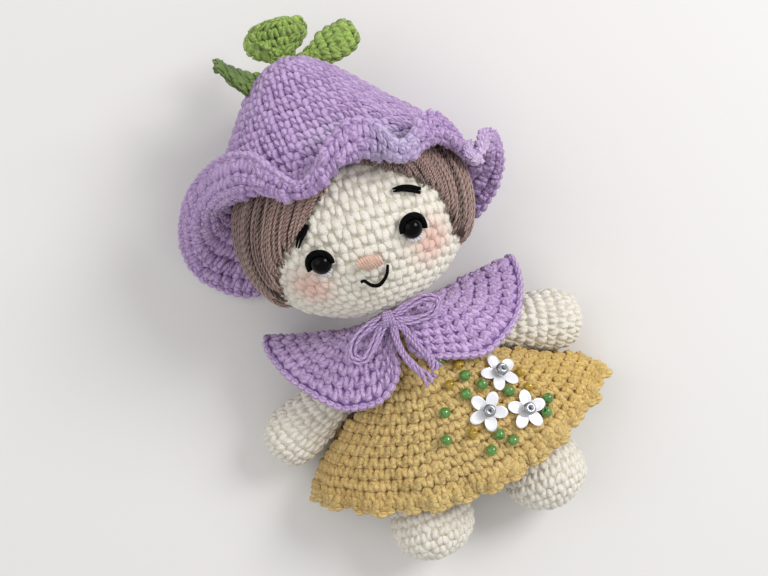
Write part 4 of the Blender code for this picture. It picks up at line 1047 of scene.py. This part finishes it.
for name, leaf in leaves.items():
    whole = leafSurface(*leaf)
    leafYarn = joined(f"leaf_{name}Yarn", [stitches(whole, leafLook, top=0.03, bottom=0.97)], green, "hat")
    leafBacking = backing(f"leaf_{name}Backing", whole, 0.9, greenBack, "hat")
    for piece in (leafYarn, leafBacking):
        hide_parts(f"leaf_{name}")


# Calyx base: a low dome of stitches on the crown's top, under the leaves

# Half an ellipsoid about the leaves' seat, tipped to the back by its tilt
def calyxSurface():
    seat = leafSize
    turn = np.linspace(0, 2 * np.pi, 48, endpoint=False)[None]
    polar = np.linspace(0, np.pi / 2, 16)[:, None]
    local = np.stack(np.broadcast_arrays(seat["radius"] * np.sin(polar) * np.cos(turn),
                                         seat["radius"] * np.sin(polar) * np.sin(turn),
                                         seat["domeHeight"] * np.cos(polar)), -1)
    return surfaceOf(inHead(local @ rotation(-90 - seat["tilt"], "X").T + seat["seat"]), True)


calyx = calyxSurface()
calyxYarn = joined("calyxYarn", [stitches(calyx, {**leafLook, "width": 3.6, "row": 2.8, "thick": 1.2})], green, "hat")
calyxBacking = backing("calyxBacking", calyx, 0.8, greenBack, "hat", 1, 1, solid=0.4)
for piece in (calyxYarn, calyxBacking):
    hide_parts("calyx_base")


# Bow: centre lines over the collar in shares of the loop's length from the knot
bowSize = {"loop": 13.4, "yarn": 1.7, "knot": 2.9, "place": (-3.0, 38.4, 47.2)}
bowLook = {"strand": 0.62, "spread": 1.15, "tailSpread": 0.82, "strands": 4}
bowLoops = {
    "left": [(-0.10, 0.05), (-0.30, 0.05), (-0.62, -0.02), (-1.05, -0.18), (-1.28, -0.52), (-1.02, -0.74),
             (-0.60, -0.46), (-0.28, -0.17), (-0.08, -0.05)],
    "right": [(0.10, 0.03), (0.30, 0.06), (0.62, 0.12), (1.10, 0.12), (1.36, -0.10), (1.10, -0.34), (0.62, -0.30),
              (0.28, -0.18), (0.08, -0.06)],
}
bowTails = {
    "left": [(0.0, -0.10), (0.03, -0.25), (-0.02, -0.60), (-0.01, -1.00), (0.12, -1.45), (0.38, -1.98)],
    "right": [(0.12, -0.15), (0.27, -0.42), (0.36, -0.80), (0.54, -1.32), (0.64, -1.72)],
}


# A smooth line through places given in loop lengths from the knot, lifted over the collar
def bowLine(spots, lift, count):
    side, drop, rise = bowSize["place"]
    spots = np.array(spots)
    knots = np.stack([side + spots[:, 0] * bowSize["loop"], headCentre[1] - drop + spots[:, 1] * bowSize["loop"],
                      rise + lift + 0 * spots[:, 0]], -1)
    return smoothLine(knots, count)


# Strands round a line, each at its own angle, turning along it, drawing apart by fray at the far end
def bundle(line, count, spread, twist, fray=0.0):
    s = np.linspace(0, 1, len(line))
    way = unit(np.gradient(line, axis=0))
    side = unit(np.cross(way, [0, 0, 1]))
    rise = np.cross(side, way)
    angle = 2 * np.pi * (np.arange(count)[:, None] / count + twist * s * (1 - 0.6 * fray * s)) + 0.6
    reach = spread * (1 + fray * np.clip((s - 0.78) / 0.22, 0, 1) ** 2)
    reach = reach * (1 + random.normal(0, 0.12, (count, 1)))
    return line + (side * np.cos(angle)[..., None] + rise * 0.7 * np.sin(angle)[..., None]) * reach[..., None]


for side, spots in bowLoops.items():
    line = bowLine(spots, bowSize["yarn"] * 0.9, 60)
    line[:, 2] -= 1.0 * np.sin(np.pi * np.linspace(0, 1, 60)) ** 2
    loop = joined(f"bow_loop_{side}Strands",
                  [strands(bundle(line, bowLook["strands"], bowLook["spread"], 0.8), bowLook["strand"])],
                  lilacStrand, "body")
    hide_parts(f"bow_loop_{side}")
for side, spots in bowTails.items():
    line = bowLine(spots, bowSize["yarn"] * 0.6, 70)
    tail = joined(f"bow_tail_{side}Strands",
                  [strands(bundle(line, bowLook["strands"], bowLook["tailSpread"], 3.2, 1.6), bowLook["strand"])],
                  lilacStrand, "body")
    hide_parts(f"bow_tail_{side}")
turn = np.linspace(0, 2 * np.pi, 41)
wraps = []
for offset, lean in ((-1.5, 0.25), (-0.5, 0.1), (0.5, -0.1), (1.5, -0.2)):
    wraps.append(np.stack([offset + lean * np.cos(turn) * 2, np.cos(turn) * 2.35, np.sin(turn) * 1.9], -1))
knotCentre = bowLine([(0, 0), (0.01, 0)], bowSize["knot"] / 2, 2)[0]
knot = joined("bow_knotStrands", [strands(np.array(wraps) @ rotation(-12, "Z").T + knotCentre, 0.68, 6,
                                          up=(1, 0, 0))], lilacStrand, "body")
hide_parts("bow_knot")
print("leaves and bow done")


# Face

# Places in the face's own axes (side, up, out) at a spot, to the doll's frame
def onFace(points, place):
    spot, axes = place
    return np.asarray(points, float) @ axes.T + spot


# A turned form: radius and height from axis to axis, about the place's outward way
def lathe(name, profile, place, material, body, sides=32):
    turns = np.linspace(0, 2 * np.pi, sides, endpoint=False)
    profile = np.array(profile, float)
    local = np.stack(np.broadcast_arrays(profile[:, :1] * np.cos(turns), profile[:, :1] * np.sin(turns),
                                         profile[:, 1:]), -1)
    quads = gridQuads(len(profile), sides, True)
    return closePoles(makeMesh(name, toRow(onFace(local, place)), quads, material, body))


eyeGloss = plain("black gloss", colour(3, 3, 4), 0.05, depth=0.3, relief=0.0, Specular_IOR_Level=0.12)
faceLines = {
    "lash": {"from": 192, "to": -14, "gap": 0.35, "reach": 0.75, "radius": 1.02, "rise": 1.0, "arch": 0.5},
    "white": {"left": (232, 312), "right": (240, 330), "gap": 0.25, "radius": 1.0, "rise": 0.95},
    "brow": {"left": [(-0.487, -0.155), (-0.44, -0.085), (-0.40, -0.045), (-0.365, -0.005)],
             "right": [(0.355, 0.052), (0.42, 0.05), (0.49, 0.03), (0.562, -0.006)]},
    "mouth": [(-0.092, -0.552), (-0.062, -0.552), (-0.02, -0.598), (0.035, -0.615), (0.085, -0.588), (0.125, -0.545),
              (0.148, -0.485)],
}
for side in ("left", "right"):
    place = facePlace(*eyes[side])
    r, d = eyes["radius"], eyes["dome"]
    arc = np.linspace(0.001, math.pi / 2, 16)
    profile = [(0, d + eyes["rise"])] + [(r * math.sin(t), eyes["rise"] + d * math.cos(t)) for t in arc[1:]]
    profile += [(eyes["stem"], eyes["neck"]), (eyes["stem"], -eyes["stemLength"]), (0, -eyes["stemLength"])]
    eye = lathe(f"eye_{side}Dome", profile, place, eyeGloss, "head")
    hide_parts(f"eye_{side}")
    lash = faceLines["lash"]
    t = np.radians(np.linspace(lash["from"], lash["to"], 40))
    s = np.linspace(0, 1, 40)
    if side == "left":
        t = np.pi - t
    ring = r + lash["gap"] + lash["reach"] * s ** 3
    line = np.stack([ring * np.cos(t), ring * np.sin(t), lash["rise"] + lash["arch"] * np.sin(np.pi * s)], -1)
    swell = lash["radius"] * (0.75 + 0.35 * np.sin(np.pi * np.clip(s * 1.1, 0, 1)) + 0.15 * s)
    lashYarn = joined(f"lash_{side}Yarn", [strands(onFace(line, place)[None], swell, 8,
                                                   up=onFace([[0, 0, 1]], (0, place[1])))], black, "head")
    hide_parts(f"lash_{side}")
    under = faceLines["white"]
    t = np.radians(np.linspace(*under[side], 20))
    ring = r + under["gap"]
    line = np.stack([ring * np.cos(t), ring * np.sin(t), 0 * t + under["rise"]], -1)
    swell = under["radius"] * np.sin(np.pi * np.linspace(0.12, 0.88, 20))
    whiteYarn = joined(f"eye_white_{side}Yarn", [strands(onFace(line, place)[None], swell, 8,
                                                         up=onFace([[0, 0, 1]], (0, place[1])))], white, "head")
    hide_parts(f"eye_white_{side}")


# A smooth line on the face through shares of the head's half width, lifted off it
def faceLine(shares, count, lift):
    places = [facePlace(*share) for share in shares]
    spots, outs = smoothLine([p[0] for p in places], count), smoothLine([p[1][:, 2] for p in places], count)
    return spots + unit(outs) * lift, unit(outs)


for side, shares in faceLines["brow"].items():
    line, outs = faceLine(shares, 24, 0.9)
    s = np.linspace(0, 1, 24)[:, None]
    across = unit(np.cross(np.gradient(line, axis=0), outs))
    gap = 0.42 + 0.25 * (s if side == "right" else np.sin(np.pi * s))
    pair = np.stack([line + across * gap, line - across * gap])
    width = 0.72 * (0.36 + 0.7 * np.sin(np.pi * np.linspace(0.03, 0.76, 24)))
    brow = joined(f"brow_{side}Yarn", [strands(pair, width, 8, up=outs[None])], black, "head")
    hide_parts(f"brow_{side}")
line, outs = faceLine(faceLines["mouth"], 40, 0.9)
mouth = joined("mouthYarn", [strands(line[None], 0.52 + 0.14 * np.sin(np.pi * np.linspace(0, 1, 40)), 8,
                                     up=outs[None])], black, "head")
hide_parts("mouth")

noseLook = {"at": (0.02, -0.425), "half": 4.3, "rise": 2.35, "depth": 2.3, "count": 8, "slant": -67}
place = facePlace(*noseLook["at"])
across = np.linspace(-0.86, 0.86, noseLook["count"])
s = np.linspace(-1, 1, 18)
lean = math.cos(math.radians(noseLook["slant"]))
tall = noseLook["rise"] * np.sqrt(1 - across ** 2 * 0.8)[:, None]
nosePaths = np.stack(np.broadcast_arrays(noseLook["half"] * across[:, None] * 0.92 + lean * s * tall * 1.05, -tall * s,
                                         0.6 + noseLook["depth"] * 0.55 * np.sqrt(np.clip(1 - s ** 2 * 0.97, 0, 1))
                                         * np.sqrt(1 - across[:, None] ** 2 * 0.6)), -1)
nose = joined("noseStrands", [strands(onFace(nosePaths, place), 0.62, 6,
                                      up=onFace([[0, 0, 1]], (0, place[1])))], peach, "head")
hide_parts("nose")
print("face done")


# Beads and sequins: place on the skirt as shares, across half its width and down its front
beadSize = {"green": 2.0, "amber": 1.75, "hole": 0.3, "length": 0.8, "centre": 2.45, "centreLength": 0.75,
            "lift": 0.4, "sequin": 7.4, "sequinThick": 0.3, "sequinLift": 1.9}
beadShares = {
    "green": [(0.096, 0.273), (0.203, 0.419), (0.152, 0.497), (0.261, 0.511), (0.357, 0.628), (0.510, 0.792),
              (0.466, 0.832), (-0.006, 0.527), (-0.065, 0.662), (0.193, 0.763), (0.246, 0.827), (0.117, 0.811)],
    "amber": [(0.200, 0.352), (0.097, 0.410), (0.472, 0.612), (0.452, 0.683), (0.075, 0.686)],
}
sequinShares = [(0.383, 0.535), (0.204, 0.632), (0.382, 0.755)]


# Point and axes on the skirt's front: the normal is the step down crossed with the step across
def skirtPlace(across, down, lift):
    spread = 0.255 + 0.745 * down ** 1.25
    turn = math.asin(max(-1, min(1, across * 1.02 / spread)))
    step = 0.02
    out = unit(np.cross(dressPoint(down + step, turn) - dressPoint(down - step, turn),
                        dressPoint(down, turn + step) - dressPoint(down, turn - step)))
    out = out if out[2] > 0 else -out
    side = unit(np.cross([0, 1, 0], out))
    return dressPoint(down, turn) + out * lift, np.stack([side, np.cross(out, side), out], -1)


# A glass bead: a closed ring whose wall is an ellipse, about the place's outward way
def ringBead(name, outer, hole, halfLength, place, material, body):
    wall = np.linspace(0, 2 * np.pi, 16, endpoint=False)[:, None]
    turn = np.linspace(0, 2 * np.pi, 28, endpoint=False)[None]
    radius = (outer + hole) / 2 + (outer - hole) / 2 * np.cos(wall)
    local = np.stack(np.broadcast_arrays(radius * np.cos(turn), radius * np.sin(turn), halfLength * np.sin(wall)), -1)
    quads = gridQuads(16, 28, True, True)[:, ::-1]
    return makeMesh(name, toRow(onFace(local, place)), quads, material, body)


# Radius of the flower's outline: five equal humps, radius x (0.45 + 0.55 x cosine of the angle off the
# petal's middle x 2.5)
def petalReach(angle, radius):
    off = (angle + math.pi / 5) % (2 * math.pi / 5) - math.pi / 5
    return radius * (0.45 + 0.55 * np.cos(2.5 * off))


# A thin five-petalled flower with a hole: rings from the hole to the petals' outline, each petal cupped and
# tipped a little
def sequin(name, place, material, body):
    turn = np.linspace(0, 2 * np.pi, 160, endpoint=False)
    outline = petalReach(turn, beadSize["sequin"])
    off = (turn + math.pi / 5) % (2 * math.pi / 5) - math.pi / 5
    tip = 0.5 + 0.35 * np.sin(1.7 * np.floor((turn + math.pi / 5) / (2 * math.pi / 5)) + len(name))
    share = np.linspace(0, 1, 9)[:, None]
    radius = beadSize["hole"] + (outline - beadSize["hole"]) * share
    cup = share ** 2 * tip * 0.8
    upper = np.stack(np.broadcast_arrays(radius * np.cos(turn), radius * np.sin(turn), cup), -1)
    lower = upper[::-1] - [0, 0, beadSize["sequinThick"]]
    rings = np.concatenate([upper, lower])
    quads = gridQuads(len(rings), 160, True, True)
    return makeMesh(name, toRow(onFace(rings, place)), quads, material, body)


greenGlass = plain("green glass", colour(94, 153, 62), 0.1, grain=350, depth=0.3, relief=0.0, Coat_Weight=1.0, Coat_Roughness=0.02,
                   Transmission_Weight=0.15, IOR=1.5)
amberGlass = plain("amber glass", colour(206, 164, 14), 0.08, grain=350, depth=0.35, relief=0.0,
                   Coat_Weight=1.0, Transmission_Weight=0.2, IOR=1.5)
pearl = plain("pearl white", colour(246, 246, 250), 0.22, metallic=0.12, grain=250, depth=0.06, relief=0.05, Coat_Weight=0.8, Coat_Roughness=0.08)
silver = plain("silver lined bead", colour(170, 173, 180), 0.26, metallic=0.75, grain=600, depth=0.25, relief=0.1,
               Coat_Weight=1.0)
for tone, material in (("green", greenGlass), ("amber", amberGlass)):
    for i, (across, down) in enumerate(beadShares[tone]):
        spot, axes = skirtPlace(across, down, beadSize[tone] + beadSize["lift"])
        lay = axes @ rotation(37 * i, "Z") @ rotation(62, "X")
        bead = ringBead(f"{tone}Bead{i + 1:02d}", beadSize[tone], beadSize["hole"], beadSize[tone] * beadSize["length"],
                        (spot, lay), material, "body")
        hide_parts(f"{tone}_bead_{i + 1:02d}")
for i, (across, down) in enumerate(sequinShares):
    spot, axes = skirtPlace(across, down, beadSize["sequinLift"])
    place = (spot, axes @ rotation(14 + 29 * i, "Z"))
    flower = sequin(f"sequin{i + 1}", place, pearl, "body")
    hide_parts(f"sequin_{i + 1}")
    top = (spot + axes[:, 2] * (beadSize["centre"] * beadSize["centreLength"] + 0.5), axes)
    centre = ringBead(f"sequinBead{i + 1}", beadSize["centre"], beadSize["hole"] / 2,
                      beadSize["centre"] * beadSize["centreLength"], top, silver, "body")
    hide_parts(f"sequin_bead_{i + 1}")
print("beads done")


# Floor, light and camera

# A pale floor, two soft area lights aimed at the doll and an even white world
def stageAndLight():
    corners = np.array([[-1, -1, 0], [1, -1, 0], [1, 1, 0], [-1, 1, 0]]) * studio["floorHalf"]
    floor = makeMesh("floor", corners, [[0, 1, 2, 3]], plain("floor", studio["floor"], 0.9, depth=0), None,
                     smooth=False)
    for name, place, power, size in studio["lights"]:
        light = bpy.data.lights.new(name, "AREA")
        light.energy, light.size = power, size
        lamp = bpy.data.objects.new(name, light)
        lamp.location = place
        lamp.rotation_euler = (Vector(studio["aim"]) - Vector(place)).to_track_quat("-Z", "Y").to_euler()
        bpy.context.scene.collection.objects.link(lamp)
    world = bpy.data.worlds.new("world")
    world.use_nodes = True
    world.node_tree.nodes["Background"].inputs["Color"].default_value = (1, 1, 1, 1)
    world.node_tree.nodes["Background"].inputs["Strength"].default_value = studio["world"]
    bpy.context.scene.world = world
    bpy.context.scene.view_settings.view_transform = "Standard"


# Metres here: each light has a name, a place, watts and the side of its square
studio = {"floor": (0.80, 0.785, 0.77, 1), "floorHalf": 1.5, "world": 0.6, "aim": (0, 0, 0.03),
          "lights": [("key", (0.85, 0.15, 0.75), 7.2, 0.45), ("fill", (-0.6, 0.4, 0.9), 2.4, 0.9)]}
view = {"height": 460, "roll": -24, "halfPixels": 384, "mmPerPixel": 0.367, "scaleDistance": 430}


# Straight above the doll, turned about the vertical. tan(half the angle) = mm a pixel x half the picture's
# width in pixels / the distance at which that scale holds
def camera():
    lens = bpy.data.cameras.new("camera")
    lens.angle = 2 * math.atan(view["mmPerPixel"] * view["halfPixels"] / view["scaleDistance"])
    lens.clip_start = 0.01
    eye = bpy.data.objects.new("camera", lens)
    eye.matrix_world = (Matrix.Translation((shift[0] * mm, shift[1] * mm, view["height"] * mm))
                        @ Matrix.Rotation(math.radians(view["roll"]), 4, "Z"))
    bpy.context.scene.collection.objects.link(eye)
    bpy.context.scene.camera = eye


stageAndLight()
camera()
